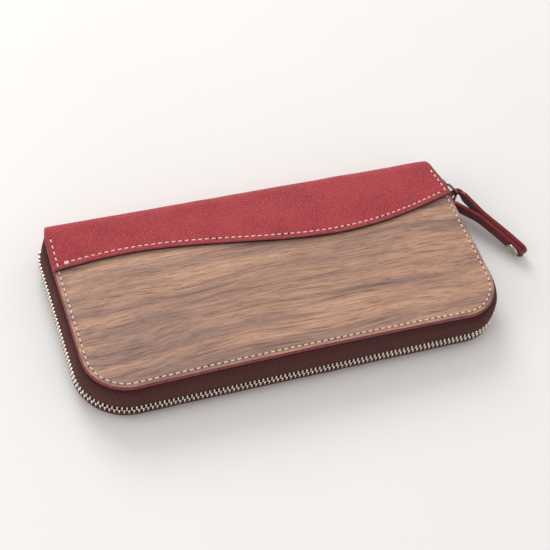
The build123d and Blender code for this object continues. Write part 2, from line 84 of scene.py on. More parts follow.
# Covers
CORNER_RADIUS = 20.0
CORNER_Y = FRONT + CORNER_RADIUS
CROWN = 1.1                 # rise of the stuffed upper cover above the flat CAD one, in the middle
CROWN_FALL = 2.5            # how much lower than that it is at both ends
SPINE_RISE = -0.6           # the same rise along the spine, in the middle
SPINE_SLOPE = 2.2           # and how much lower it gets from there to the right end
CROWN_BACK, SPINE_FRONT = 20.0, 45.0    # the first rise turns into the second between these
SKEW, SKEW_SLOPE = 0.7, 1.4             # how far the soft wallet's front edge has slipped forward
SKEW_BACK = 10.0
VENEER = 0.35
BACKING_DEPTH = 2.0         # from the outer wood face to the inner face of the backing
BOARD_DEPTH = 2.5
LINING_DEPTH = 3.1
SLOT_DEPTH = 3.15
UNDERSIDE_LIFT = 0.65       # the underside's stitches stand this far proud of its wood
FLAP_LIFT = 0.50            # and this far proud of its leather
COLUMN_STEP = 4.0
CORNER_STEPS = 10

# Spine leather
LEATHER = 1.8
SKIVED_LEATHER = 0.6
SPINE_RADIUS = 7.0
SPINE_DRAW = {-1: 2.4, 1: 3.4}          # how far the spine's ends are drawn in, left and right
SPINE_DRAW_FRONT, SPINE_DRAW_BACK = {-1: 35.0, 1: 20.0}, 50.0
WAVE = [(-100, 21.5), (-72, 22.7), (-35, 19.4), (5, 12.9), (32, 10.3), (65, 12.8), (100, 21.5)]

# Stitching
STITCH_INSET = 2.0
STITCH_PITCH = 3.15
STITCH_LENGTH = 2.1
STITCH_RADIUS = 0.30
HOLE_RADIUS = 0.50
SPINE_STITCH_END = 38.5
STITCH_GROOVE = 0.16

# Zip
CHAIN_OFFSET = 3.0
TOOTH_PITCH = 2.1
TOOTH_HALF_LENGTH = 0.50
TOOTH_HALF_DEPTH = 1.25
TOOTH_HEIGHT = 2.3
HEAD_GAP = 0.17             # from the hinge plane to the heads, clear of the sliders' wedges
TAPE = 0.5
TAPE_EDGE = 1.0
TAPE_BACK = 45.0
TAPE_DEPTH = 2.25
LEFT_TEETH_BACK = 39.0
LEFT_STOP_Y = 41.0
RIGHT_TEETH_BACK = {-1: 41.4, 1: 31.0}
RIGHT_STOP_Y = 43.3
STOP_STRETCH = 1.8
TAPE_TAPER = {-1: (34.0, 48.0), 1: (42.0, 49.0)}    # the bulge dies away between these, left and right
TAPE_TAPER_END = 0.2

# Strap
STRAP_THICKNESS = 2.25
STRAP_WIDTH = 7.2
STRAP_CROWN = 0.12          # how much its outer face is crowned
NECK_WIDTH = 2.9            # the strap is cut narrower where it folds through the link
NECK_END, NECK_SHOULDER = 0.9, 3.6      # and widens again between these, past the link's bar
STRAP_TILT = math.radians(5.7)
STRAP_ROLL = math.radians(18.0)
STRAP_TIP_RADIUS = 3.2
NEAR_LEG = [(130.7, -12.4), (125.28, -2.04), (116.84, 12.61), (107.2, 23.0), (105.9, 28.7)]
FAR_LEG = [(111.9, 30.9), (113.7, 25.5), (118.88, 13.78), (127.34, -0.91), (132.78, -11.31)]
STRAP_RADII = [30.0, 30.0, 9.0, 2.6, 2.6, 25.0, 30.0, 30.0]
RIVET_FROM_TIP = 5.5

# Leaves inside
LEAF_HALF = 84.0
LEAF_BACK = 41.0
DIVIDER_FRONT = -40.0
POCKET_FRONT = -32.8
SLOT_HALF = 88.0
SLOT_BACK = 38.0
SLOT_SHEET = 0.45
SLOT_GAP = 0.05
SLOT_STEP = 12.0
SLOT_FIRST_EDGE = -24.0
SLOT_COUNT = 4
GUSSET_INNER = 84.4
GUSSET_TIP = 97.2
GUSSET_FRONT = -33.0
GUSSET_BACK = 38.5
CLOTH = 0.25
COIN_TAPE_HALF = 0.2
COIN_TOOTH_MARGIN = 1.0     # from the ends of the CAD row to the middles of the end teeth
COIN_STOP_HALF = 0.9

# Studio
CAMERA_ANGLES = (-29.65, 53.7, 12.81)   # azimuth, elevation and roll, in degrees
CAMERA_AIM = (2.26, 2.5, 10.0)
CAMERA_DISTANCE = 655.26
CAMERA_LENS = 90.02
CAMERA_SENSOR = 36.0
FLOOR_GAP = 0.05
FLOOR_REACH = 3000.0


# Shader building

class Shader:
    """A material under construction, with short ways to add and link its nodes."""

    def __init__(self, name, **surface):
        self.material = bpy.data.materials.new(name)
        self.material.use_nodes = True
        self.tree = self.material.node_tree
        self.surface = self.tree.nodes["Principled BSDF"]
        for socket, value in surface.items():
            self.set(self.surface, socket.replace("_", " "), value)

    def set(self, node, socket, value):
        """Give a socket a constant, or link another node's socket to it."""
        if isinstance(value, bpy.types.NodeSocket):
            self.tree.links.new(value, node.inputs[socket])
        else:
            node.inputs[socket].default_value = value

    def add(self, kind, inputs, **settings):
        node = self.tree.nodes.new(kind)
        for name, value in settings.items():
            setattr(node, name, value)
        for socket, value in inputs.items():
            self.set(node, socket, value)
        return node

    def coordinates(self, which="Object", scale=(1, 1, 1)):
        source = self.add("ShaderNodeTexCoord", {}).outputs[which]
        return self.add("ShaderNodeMapping", {"Vector": source, "Scale": scale}).outputs[0]

    def noise(self, vector, scale, detail=3.0, roughness=0.5):
        inputs = {"Vector": vector, "Scale": scale, "Detail": detail, "Roughness": roughness}
        return self.add("ShaderNodeTexNoise", inputs).outputs[0]

    def cells(self, vector, scale):
        """Distance to the nearest border between random cells."""
        inputs = {"Vector": vector, "Scale": scale}
        return self.add("ShaderNodeTexVoronoi", inputs, feature="DISTANCE_TO_EDGE").outputs["Distance"]

    def math(self, operation, first, second=0.0):
        return self.add("ShaderNodeMath", {0: first, 1: second}, operation=operation).outputs[0]

    def weighed(self, *terms):
        """Sum of (socket, weight) terms."""
        total = None
        for socket, weight in terms:
            part = socket if weight == 1 else self.math("MULTIPLY", socket, weight)
            total = part if total is None else self.math("ADD", total, part)
        return total

    def spread(self, value, low, high, to_low=0.0, to_high=1.0):
        """The value's range from low to high, stretched to another range."""
        inputs = {"Value": value, "From Min": low, "From Max": high, "To Min": to_low, "To Max": to_high}
        return self.add("ShaderNodeMapRange", inputs).outputs[0]

    def ramp(self, factor, *stops):
        """Colour ramp from (position, colour) stops."""
        node = self.add("ShaderNodeValToRGB", {"Fac": factor})
        elements = node.color_ramp.elements
        while len(elements) < len(stops):
            elements.new(0.5)
        for element, (position, colour) in zip(elements, stops):
            element.position = position
            element.color = (*colour, 1.0)
        return node.outputs[0]

    def mix(self, factor, first, second, blend="MIX"):
        """Mixed colour of two, by a factor."""
        node = self.add("ShaderNodeMix", {0: factor}, data_type="RGBA", blend_type=blend)
        for socket, value in ((6, first), (7, second)):
            self.set(node, socket, (*value, 1.0) if isinstance(value, tuple) else value)
        return node.outputs[2]

    def bump(self, height, distance):
        """Relief of a height from 0 to 1, with its real depth in millimetres."""
        inputs = {"Height": height, "Distance": distance * MM, "Strength": 1.0}
        return self.add("ShaderNodeBump", inputs).outputs[0]

    def finish(self, colour, roughness, normal=None):
        self.set(self.surface, "Base Color", colour)
        self.set(self.surface, "Roughness", roughness)
        if normal is not None:
            self.set(self.surface, "Normal", normal)
        return self.material


def per_mm(value):
    """Texture scale for features this many to a millimetre."""
    return value / MM


# Materials

def walnut_material():
    """Open-grained walnut veneer with its grain along the wallet."""
    s = Shader("walnut_veneer", Specular_IOR_Level=0.35, Coat_Weight=0.05, Coat_Roughness=0.45)
    place = s.coordinates()
    sway = s.noise(s.coordinates(scale=(0.35, 1, 1)), per_mm(0.028), 2.0)
    sway = s.add("ShaderNodeCombineXYZ", {"Y": s.math("MULTIPLY", sway, 16 * MM)}).outputs[0]
    swayed = s.add("ShaderNodeVectorMath", {0: place, 1: sway}, operation="ADD").outputs[0]

    def along_grain(stretch):
        return s.add("ShaderNodeMapping", {"Vector": swayed, "Scale": (stretch, 1, 1)}).outputs[0]

    bands = s.noise(along_grain(0.07), per_mm(0.13), 3.0, 0.5)
    streaks = s.noise(along_grain(0.045), per_mm(0.55), 4.0, 0.6)
    lines = s.noise(along_grain(0.028), per_mm(2.1), 3.0, 0.6)
    pores = s.noise(along_grain(0.05), per_mm(3.6), 2.0, 0.5)
    pits = s.spread(pores, 0.34, 0.42, 1.0, 0.0)
    base = s.ramp(bands, (0.36, (0.300, 0.186, 0.150)), (0.46, (0.385, 0.232, 0.172)),
                  (0.54, (0.465, 0.276, 0.190)), (0.66, (0.530, 0.318, 0.215)))
    mauve = s.ramp(streaks, (0.32, (0.50, 0.45, 0.47)), (0.43, (0.82, 0.79, 0.81)), (0.56, (1, 1, 1)))
    colour = s.mix(0.70, base, mauve, "MULTIPLY")
    fine = s.ramp(lines, (0.34, (0.50, 0.43, 0.41)), (0.45, (0.90, 0.88, 0.87)),
                  (0.62, (1.16, 1.14, 1.12)))
    colour = s.mix(0.85, colour, fine, "MULTIPLY")
    colour = s.mix(s.math("MULTIPLY", pits, 0.55), colour, (0.15, 0.075, 0.052))
    relief = s.bump(s.weighed((lines, 1), (pits, -0.7)), 0.05)
    return s.finish(colour, s.spread(lines, 0.3, 0.7, 0.50, 0.64), relief)


def leather_material(name, dark, light, grain, depth, gloss=0.45, creases=0.25):
    """Pebbled leather: rounded pebbles of about `grain` millimetres between fine creases."""
    s = Shader(name, Specular_IOR_Level=0.35)
    place = s.coordinates("UV")
    wander = s.noise(place, per_mm(0.5 / grain), 2.0)
    shift = s.add("ShaderNodeCombineXYZ", {"X": s.math("MULTIPLY", wander, grain * MM),
                                           "Y": s.math("MULTIPLY", wander, 0.6 * grain * MM)}).outputs[0]
    bent = s.add("ShaderNodeVectorMath", {0: place, 1: shift}, operation="ADD").outputs[0]
    pebbles = s.spread(s.cells(bent, per_mm(1 / grain)), 0.0, 0.28)
    small = s.spread(s.cells(bent, per_mm(2.3 / grain)), 0.0, 0.3)
    pores = s.noise(place, per_mm(9.0 / grain), 2.0)
    soft = s.noise(place, per_mm(0.06), 3.0)
    height = s.weighed((pebbles, 0.7), (small, 0.3), (pores, 0.18))
    # The colour darkens in the creases between the pebbles, by the creases weight: painted shade in the
    # creases.
    colour = s.ramp(s.weighed((soft, 0.5), (height, creases)), (0.25, dark), (0.80, light))
    return s.finish(colour, s.spread(height, 0.0, 1.0, gloss + 0.16, gloss), s.bump(height, depth))


def edge_paint_material(name, colour, light):
    """Burnished and painted cut edge: satin, slightly uneven, worn paler in places."""
    s = Shader(name, Specular_IOR_Level=0.35, Coat_Weight=0.10, Coat_Roughness=0.35)
    place = s.coordinates()
    waves = s.noise(place, per_mm(0.35), 3.0)
    rubbed = s.noise(place, per_mm(1.4), 4.0, 0.6)
    tint = s.ramp(s.math("MULTIPLY", waves, rubbed), (0.12, colour), (0.48, light))
    return s.finish(tint, s.spread(rubbed, 0.3, 0.7, 0.30, 0.46), s.bump(waves, 0.12))


def suede_material(name, dark, light):
    """Raw flesh side of leather: matte nap with soft clouding."""
    s = Shader(name, Specular_IOR_Level=0.12, Sheen_Weight=0.12, Sheen_Roughness=0.6)
    place = s.coordinates("UV")
    nap = s.noise(place, per_mm(4.0), 4.0, 0.7)
    clouds = s.noise(place, per_mm(0.25), 3.0)
    colour = s.ramp(s.weighed((nap, 0.5), (clouds, 0.5)), (0.32, dark), (0.68, light))
    return s.finish(colour, s.spread(nap, 0.2, 0.8, 0.84, 0.97), s.bump(nap, 0.10))


def tape_material(name, dark, light, rib=1.15, band=2.6):
    """Woven zip tape: herringbone ribs that change direction from band to band."""
    s = Shader(name, Specular_IOR_Level=0.12, Sheen_Weight=0.16, Sheen_Roughness=0.4,
               Sheen_Tint=(0.85, 0.34, 0.31, 1.0))
    split = s.add("ShaderNodeSeparateXYZ", {"Vector": s.coordinates("UV")})
    along, across = split.outputs[0], split.outputs[1]
    zigzag = s.math("PINGPONG", across, band * MM)
    wander = s.noise(s.coordinates("UV"), per_mm(0.8), 2.0)
    slant = s.weighed((along, 1), (zigzag, 1), (wander, 0.35 * MM))
    ribs = s.math("SINE", s.math("MULTIPLY", slant, math.tau / (rib * MM)))
    yarns = s.math("SINE", s.math("MULTIPLY", across, math.tau / (0.28 * MM)))
    fuzz = s.noise(s.coordinates("UV"), per_mm(7.0), 3.0, 0.6)
    height = s.math("ADD", s.weighed((ribs, 0.6), (yarns, 0.10), (fuzz, 0.25)), 0.5)
    colour = s.ramp(height, (0.15, dark), (0.95, light))
    return s.finish(colour, s.spread(fuzz, 0.3, 0.7, 0.74, 0.9), s.bump(height, 0.32))


def cloth_material():
    """Fine twill of the gussets and the coin pocket's band."""
    s = Shader("gusset_twill", Specular_IOR_Level=0.25, Sheen_Weight=0.2, Sheen_Roughness=0.5)
    split = s.add("ShaderNodeSeparateXYZ", {"Vector": s.coordinates("UV")})
    slant = s.weighed((split.outputs[0], 1), (split.outputs[1], 0.7))
    twill = s.math("SINE", s.math("MULTIPLY", slant, math.tau / (0.5 * MM)))
    fuzz = s.noise(s.coordinates("UV"), per_mm(5.0), 3.0, 0.6)
    height = s.weighed((twill, 0.35), (fuzz, 1))
    colour = s.ramp(height, (0.1, (0.018, 0.008, 0.007)), (0.9, (0.072, 0.034, 0.028)))
    return s.finish(colour, s.spread(fuzz, 0.3, 0.7, 0.7, 0.9), s.bump(height, 0.07))


def metal_material(name, dark, light, roughness):
    """Plated metal with fine scratches and tarnish in patches."""
    s = Shader(name, Metallic=1.0)
    place = s.coordinates()
    brushed = s.noise(s.coordinates(scale=(1, 0.08, 1)), per_mm(12.0), 3.0, 0.6)
    patches = s.noise(place, per_mm(0.7), 4.0, 0.6)
    colour = s.ramp(patches, (0.34, dark), (0.62, light))
    rough = s.weighed((s.spread(patches, 0.3, 0.7, roughness + 0.10, roughness), 1), (brushed, 0.08))
    return s.finish(colour, rough, s.bump(brushed, 0.012))


def thread_material():
    """Waxed cream thread."""
    s = Shader("waxed_thread", Specular_IOR_Level=0.4, Sheen_Weight=0.15)
    place = s.coordinates()
    fibres = s.noise(place, per_mm(6.0), 3.0, 0.6)
    soil = s.noise(place, per_mm(0.12), 3.0)
    clean = s.ramp(fibres, (0.3, (0.70, 0.53, 0.43)), (0.7, (0.90, 0.76, 0.66)))
    colour = s.mix(s.spread(soil, 0.35, 0.75, 0.0, 0.4), clean, (0.62, 0.43, 0.33))
    return s.finish(colour, s.spread(fibres, 0.3, 0.7, 0.5, 0.68), s.bump(fibres, 0.04))


def mottled_material(name, specular, scale, dark, light, roughness, depth=None, detail=3.0, grain=0.5):
    """Plain matter with soft mottling: card, a floor, and the near-black needle holes, whose darkness is
    painted shade.
    """
    s = Shader(name, Specular_IOR_Level=specular)
    mottle = s.noise(s.coordinates(), per_mm(scale), detail, grain)
    relief = s.bump(mottle, depth) if depth else None
    return s.finish(s.ramp(mottle, (0.3, dark), (0.7, light)), s.spread(mottle, 0.3, 0.7, *roughness), relief)


WALNUT = walnut_material()
EDGE_PAINT = edge_paint_material("edge_paint", (0.175, 0.020, 0.036), (0.300, 0.070, 0.090))
# Painted shade: a near-black edge colour for the rim along the wavy edges, standing in for the shadow that
# rim lies in.
WAVE_EDGE_SHADE = edge_paint_material("wave_edge_painted_shade", (0.022, 0.002, 0.003), (0.050, 0.006, 0.008))
RED_LEATHER = leather_material("red_leather", (0.235, 0.015, 0.024), (0.485, 0.046, 0.058), 1.15, 0.17,
                               creases=0.60)
FLESH_SIDE = suede_material("flesh_side", (0.115, 0.045, 0.035), (0.20, 0.095, 0.075))
STRAP_LEATHER = leather_material("strap_leather", (0.090, 0.007, 0.010), (0.175, 0.014, 0.018), 0.6, 0.05)
STRAP_EDGE = edge_paint_material("strap_edge", (0.150, 0.006, 0.010), (0.255, 0.014, 0.020))
STRAP_SUEDE = suede_material("strap_suede", (0.075, 0.045, 0.062), (0.165, 0.105, 0.125))
ZIP_TAPE = tape_material("zip_tape", (0.022, 0.0070, 0.0066), (0.135, 0.052, 0.048))
TWILL = cloth_material()
TOOTH_METAL = metal_material("zip_nickel", (0.66, 0.60, 0.50), (0.90, 0.86, 0.77), 0.20)
SLIDER_METAL = metal_material("slider_nickel", (0.42, 0.39, 0.34), (0.74, 0.71, 0.65), 0.16)
LINK_METAL = metal_material("link_gunmetal", (0.07, 0.06, 0.05), (0.26, 0.235, 0.20), 0.22)
THREAD = thread_material()
# Painted shade: the needle holes are shallow dishes, coloured near black to stand in for the shade inside a
# deep hole.
HOLE_SHADE = mottled_material("needle_hole_shade", 0.1, 5.0, (0.018, 0.006, 0.005), (0.05, 0.018, 0.014), (0.8, 0.95),
                        depth=0.03)
BOARD = mottled_material("stiffener_card", 0.2, 3.0, (0.20, 0.165, 0.13), (0.31, 0.26, 0.21), (0.8, 0.95),
                         depth=0.05, detail=4.0, grain=0.7)
INNER_LEATHER = leather_material("inner_leather", (0.070, 0.032, 0.022), (0.125, 0.062, 0.042), 0.45, 0.03)
LINING = leather_material("lining_leather", (0.038, 0.020, 0.016), (0.075, 0.042, 0.032), 0.35, 0.02)
INNER_EDGE = edge_paint_material("inner_edge", (0.030, 0.012, 0.009), (0.065, 0.028, 0.022))


# Mesh building

def spline(points, count):
    """Smooth curve through points, as evenly spaced samples."""
    points = np.asarray(points, float)
    knots = np.concatenate([[0], np.cumsum(np.linalg.norm(np.diff(points, axis=0), axis=1))])
    gaps = np.diff(knots)
    size = len(points)
    system = np.eye(size)
    wanted = np.zeros_like(points)
    for i in range(1, size - 1):
        system[i, i - 1:i + 2] = gaps[i - 1], 2 * (gaps[i - 1] + gaps[i]), gaps[i]
        wanted[i] = 6 * ((points[i + 1] - points[i]) / gaps[i] - (points[i] - points[i - 1]) / gaps[i - 1])
    bend = np.linalg.solve(system, wanted)
    at = np.linspace(0, knots[-1], count)
    k = np.clip(np.searchsorted(knots, at, side="right") - 1, 0, size - 2)
    before, after, gap = (knots[k + 1] - at)[:, None], (at - knots[k])[:, None], gaps[k][:, None]
    cubic = (bend[k] * before ** 3 + bend[k + 1] * after ** 3) / (6 * gap)
    return (cubic + (points[k] / gap - bend[k] * gap / 6) * before
            + (points[k + 1] / gap - bend[k + 1] * gap / 6) * after)


def unit(vectors):
    """Vectors scaled to length 1."""
    return vectors / np.maximum(np.linalg.norm(vectors, axis=-1, keepdims=True), 1e-9)


def travelled(points):
    """Distance along a line of points, at each of them."""
    return np.concatenate([[0], np.cumsum(np.linalg.norm(np.diff(points, axis=0), axis=1))])


def rounded_line(points, radii, steps=8):
    """Straight runs joined by arcs, one radius for each corner."""
    points = [np.asarray(p, float) for p in points]
    line = [points[0]]
    for before, corner, after, radius in zip(points, points[1:], points[2:], radii):
        back, on = unit(before - corner), unit(after - corner)
        half = math.acos(np.clip(back @ on, -1, 1)) / 2
        centre = corner + unit(back + on) * radius / math.sin(half)
        start = corner + back * radius / math.tan(half) - centre
        end = corner + on * radius / math.tan(half) - centre
        turn = math.acos(np.clip(unit(start) @ unit(end), -1, 1))
        for share in np.linspace(0, 1, steps):
            line.append(centre + (math.sin((1 - share) * turn) * start + math.sin(share * turn) * end)
                        / math.sin(turn))
    return np.array(line + [points[-1]])


def right_hand(line):
    """Unit normals of a flat line, on its right."""
    ways = unit(np.gradient(line, axis=0))
    return np.column_stack([ways[:, 1], -ways[:, 0]])


def resampled(line, spacing):
    """The same line with evenly spaced points."""
    along = travelled(line)
    at = np.linspace(0, along[-1], int(along[-1] / spacing) + 1)
    return np.stack([np.interp(at, along, line[:, axis]) for axis in range(line.shape[1])], axis=1)


def add_piece(name, vertices, faces, materials, face_slots=None, uvs=None, sharp=40.0):
    """Mesh object from points in millimetres, with outward normals and smooth shading."""
    mesh = bpy.data.meshes.new(name)
    mesh.from_pydata((np.asarray(vertices, float) * MM).tolist(), [], [list(map(int, f)) for f in faces])
    for material in materials:
        mesh.materials.append(material)
    if face_slots is not None:
        slots = np.minimum(face_slots, len(materials) - 1).astype(np.int32)
        mesh.polygons.foreach_set("material_index", slots)
    if uvs is not None:
        corners = np.zeros(len(mesh.loops), np.int32)
        mesh.loops.foreach_get("vertex_index", corners)
        layer = mesh.uv_layers.new(name="UVMap")
        layer.data.foreach_set("uv", (np.asarray(uvs)[corners] * MM).ravel())
    work = bmesh.new()
    work.from_mesh(mesh)
    bmesh.ops.recalc_face_normals(work, faces=work.faces)
    work.to_mesh(mesh)
    work.free()
    mesh.polygons.foreach_set("use_smooth", np.ones(len(mesh.polygons), bool))
    mesh.set_sharp_from_angle(angle=math.radians(sharp))
    piece = bpy.data.objects.new(name, mesh)
    bpy.context.scene.collection.objects.link(piece)
    return piece


def place(piece, slot, nodes, body):
    """The piece stands for CAD nodes and rides on a body. Its slot is not used."""
    if nodes:
        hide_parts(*nodes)
    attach(piece, body)
    return piece


def grid_faces(index):
    """Quads of a grid of vertex numbers."""
    corners = [index[:-1, :-1], index[1:, :-1], index[1:, 1:], index[:-1, 1:]]
    return np.stack(corners, axis=-1).reshape(-1, 4)


def rim_of(grid):
    """Border of a grid as one closed loop, and the point just inside each border point."""
    loop = [(i, 0) for i in range(len(grid) - 1)]
    loop += [(len(grid) - 1, j) for j in range(grid.shape[1] - 1)]
    loop += [(i, grid.shape[1] - 1) for i in range(len(grid) - 1, 0, -1)]
    loop += [(0, j) for j in range(grid.shape[1] - 1, 0, -1)]
    loop = np.array(loop)
    inside = np.clip(loop, 1, np.array(grid.shape[:2]) - 2)
    return loop, inside


def thick_sheet(outer, inner, bulge, rim_steps=3):
    """Closed sheet between two grids of points, with a rounded rim.
    Its face slots are 0 on the outer side, 1 on the inner side, and from 2 on the rings of the rim."""
    rows, columns = outer.shape[:2]
    count = rows * columns
    index = np.arange(count).reshape(rows, columns)
    middle = (outer + inner) / 2
    u = np.stack([travelled(middle[:, j]) for j in range(columns)], axis=1)
    v = np.stack([travelled(middle[i]) for i in range(rows)])
    flat = np.stack([u, v], axis=-1)
    loop, inside = rim_of(outer)
    at = (loop[:, 0], loop[:, 1])
    tangent = unit(np.roll(middle[at], -1, axis=0) - np.roll(middle[at], 1, axis=0))
    half = (outer[at] - inner[at]) / 2
    normal = unit(half)
    inward = middle[inside[:, 0], inside[:, 1]] - middle[at]
    inward -= (inward * tangent).sum(1, keepdims=True) * tangent
    inward -= (inward * normal).sum(1, keepdims=True) * normal
    outward = -unit(inward)
    vertices = [outer.reshape(-1, 3), inner.reshape(-1, 3)]
    uvs = [flat.reshape(-1, 2), flat.reshape(-1, 2)]
    rings = [index[at]]
    for k in range(rim_steps):
        angle = math.pi * (k + 1) / (rim_steps + 1)
        vertices.append(middle[at] + half * math.cos(angle) + outward * bulge * math.sin(angle))
        uvs.append(flat[at] + bulge)
        rings.append(2 * count + k * len(loop) + np.arange(len(loop)))
    rings.append(index[at] + count)
    rings = np.stack(rings)
    rings = np.concatenate([rings, rings[:, :1]], axis=1)
    sides = [grid_faces(index), grid_faces(index + count)[:, ::-1], grid_faces(rings)]
    slots = np.concatenate([np.zeros(len(sides[0])), np.ones(len(sides[1])),
                            2 + np.repeat(np.arange(rim_steps + 1), len(loop))]).astype(int)
    return np.concatenate(vertices), np.concatenate(sides), slots, np.concatenate(uvs)


def sheet_piece(name, outer, inner, bulge, materials, rim_steps=3):
    """A thick sheet as an object. Its materials are for the outer side, the inner side and the rim."""
    vertices, faces, slots, uvs = thick_sheet(outer, inner, bulge, rim_steps)
    return add_piece(name, vertices, faces, materials, slots, uvs)


def loft(rings):
    """Closed tube through rings of points, capped at both ends."""
    count, size = rings.shape[:2]
    index = np.arange(count * size).reshape(count, size)
    index = np.concatenate([index, index[:, :1]], axis=1)
    faces = grid_faces(index).tolist()
    return rings.reshape(-1, 3), faces + [index[0, :-1].tolist(), index[-1, :-1].tolist()]


def joined(parts):
    """One mesh from several (vertices, faces) pairs."""
    vertices, faces, start = [], [], 0
    for points, polygons in parts:
        vertices.append(points)
        faces += [[start + int(v) for v in polygon] for polygon in polygons]
        start += len(points)
    return np.concatenate(vertices), faces


def moved(shape, origin, x_axis, y_axis, z_axis):
    """A (vertices, faces) shape in a new place: its axes point along the given directions."""
    vertices, faces = shape
    return np.asarray(origin) + vertices @ np.array([x_axis, y_axis, z_axis], float), faces


def wobble(points, scale, amount):
    """Smooth unevenness for each point, in millimetres."""
    flat = points.reshape(-1, 3)
    values = [noise.noise(Vector(point) / scale) for point in flat]
    return np.array(values).reshape(points.shape[:-1]) * amount


# The shape of the closed wallet

def smooth_step(value, start, end):
    """0 before start, 1 after end and a smooth rise between them."""
    share = np.clip((np.asarray(value, float) - start) / (end - start), 0, 1)
    return share * share * (3 - 2 * share)


def rise(x, y):
    """How far the stuffed upper cover stands above the flat CAD cover."""
    across = np.asarray(x, float) / SIDE
    crown = CROWN - CROWN_FALL * across ** 2
    spine = SPINE_RISE - SPINE_SLOPE * across
    return crown + (spine - crown) * smooth_step(y, CROWN_BACK, SPINE_FRONT)


def level(side, depth, x, y):
    """Height of a layer this deep inside a cover: side is 1 for the upper one and -1 for the lower."""
    return HEIGHT + rise(x, y) - depth if side > 0 else np.full(np.shape(x), float(depth))


def slipped(x, y):
    """The y of a point of the covers' edge, once the front has slipped forward."""
    share = np.clip((SKEW_BACK - y) / (SKEW_BACK - FRONT), 0, 1)
    return y - share * (SKEW + SKEW_SLOPE * x / SIDE)


def drawn_in(x, y):
    """How far the ends of the spine are drawn in towards its middle."""
    left = SPINE_DRAW[-1] * smooth_step(y, SPINE_DRAW_FRONT[-1], SPINE_DRAW_BACK)
    right = SPINE_DRAW[1] * smooth_step(y, SPINE_DRAW_FRONT[1], SPINE_DRAW_BACK)
    return np.where(np.asarray(x) < 0, -left, right) * (np.abs(x) / SIDE) ** 6


def bulge_share(x, y):
    """How much of the zip's bulge past the covers is left at a place of the edge."""
    start, end = TAPE_TAPER[-1 if x < 0 else 1]
    return 1 - (1 - TAPE_TAPER_END) * smooth_step(y, start, end)


WAVE_LINE = spline(WAVE, 400)


def wave_y(x):
    """The spine leather's wavy front edge."""
    return np.interp(x, WAVE_LINE[:, 0], WAVE_LINE[:, 1])


def edge_frame(distance, outset, back):
    """Point of the line round the covers, from the right back corner to the left one.
    Gives the point, the way along and the way outwards."""
    (x, y), along, out = even_edge_frame(distance, outset, back)
    x += out[0] * outset * (bulge_share(x, y) - 1) if outset > 0 else -float(drawn_in(x, y))
    return (x, float(slipped(x, y))), along, out


def even_edge_frame(distance, outset, back):
    """The same for an edge that has neither slipped nor been drawn in."""
    radius = CORNER_RADIUS + outset
    side_run = back - CORNER_Y
    front_run = 2 * (SIDE - CORNER_RADIUS)
    quarter = math.pi / 2 * radius
    centre_x = SIDE - CORNER_RADIUS
    if distance < side_run:
        return (centre_x + radius, back - distance), (0, -1), (1, 0)
    distance -= side_run
    if distance < quarter:
        c, s = math.cos(distance / radius), math.sin(distance / radius)
        return (centre_x + radius * c, CORNER_Y - radius * s), (-s, -c), (c, -s)
    distance -= quarter
    if distance < front_run:
        return (centre_x - distance, CORNER_Y - radius), (-1, 0), (0, -1)
    distance -= front_run
    if distance < quarter:
        c, s = math.cos(distance / radius), math.sin(distance / radius)
        return (-centre_x - radius * s, CORNER_Y - radius * c), (-c, s), (-s, -c)
    distance -= quarter
    return (-centre_x - radius, CORNER_Y + distance), (0, 1), (-1, 0)


def edge_length(outset, back):
    """Length of the line round the covers."""
    return 2 * (back - CORNER_Y) + 2 * (SIDE - CORNER_RADIUS) + math.pi * (CORNER_RADIUS + outset)


def cover_grid(inset, back, rows=24):
    """Grid of x and y over a cover layer with round front corners."""
    radius = CORNER_RADIUS - inset
    centre = SIDE - CORNER_RADIUS
    turn = np.linspace(0, math.pi / 2, CORNER_STEPS + 1)[1:]
    corner_x = centre + radius * np.sin(turn)
    corner_y = CORNER_Y - radius * np.cos(turn)
    middle_x = np.linspace(-centre, centre, int(2 * centre / COLUMN_STEP) + 1)
    x = np.concatenate([-corner_x[::-1], middle_x, corner_x])
    front = np.concatenate([corner_y[::-1], np.full(len(middle_x), CORNER_Y - radius), corner_y])
    share = np.linspace(0, 1, rows)
    x = np.repeat(x[:, None], rows, axis=1)
    y = slipped(x, front[:, None] + (back - front)[:, None] * share)
    return x - drawn_in(x, y), y


def rectangle_grid(half, front, back, columns=40, rows=20):
    """Grid of x and y over a rectangle."""
    x = np.linspace(-half, half, columns)
    y = np.linspace(front, back, rows)
    return np.meshgrid(x, y, indexing="ij")


SIDES = ((-1, "lower"), (1, "upper"))


# Covers

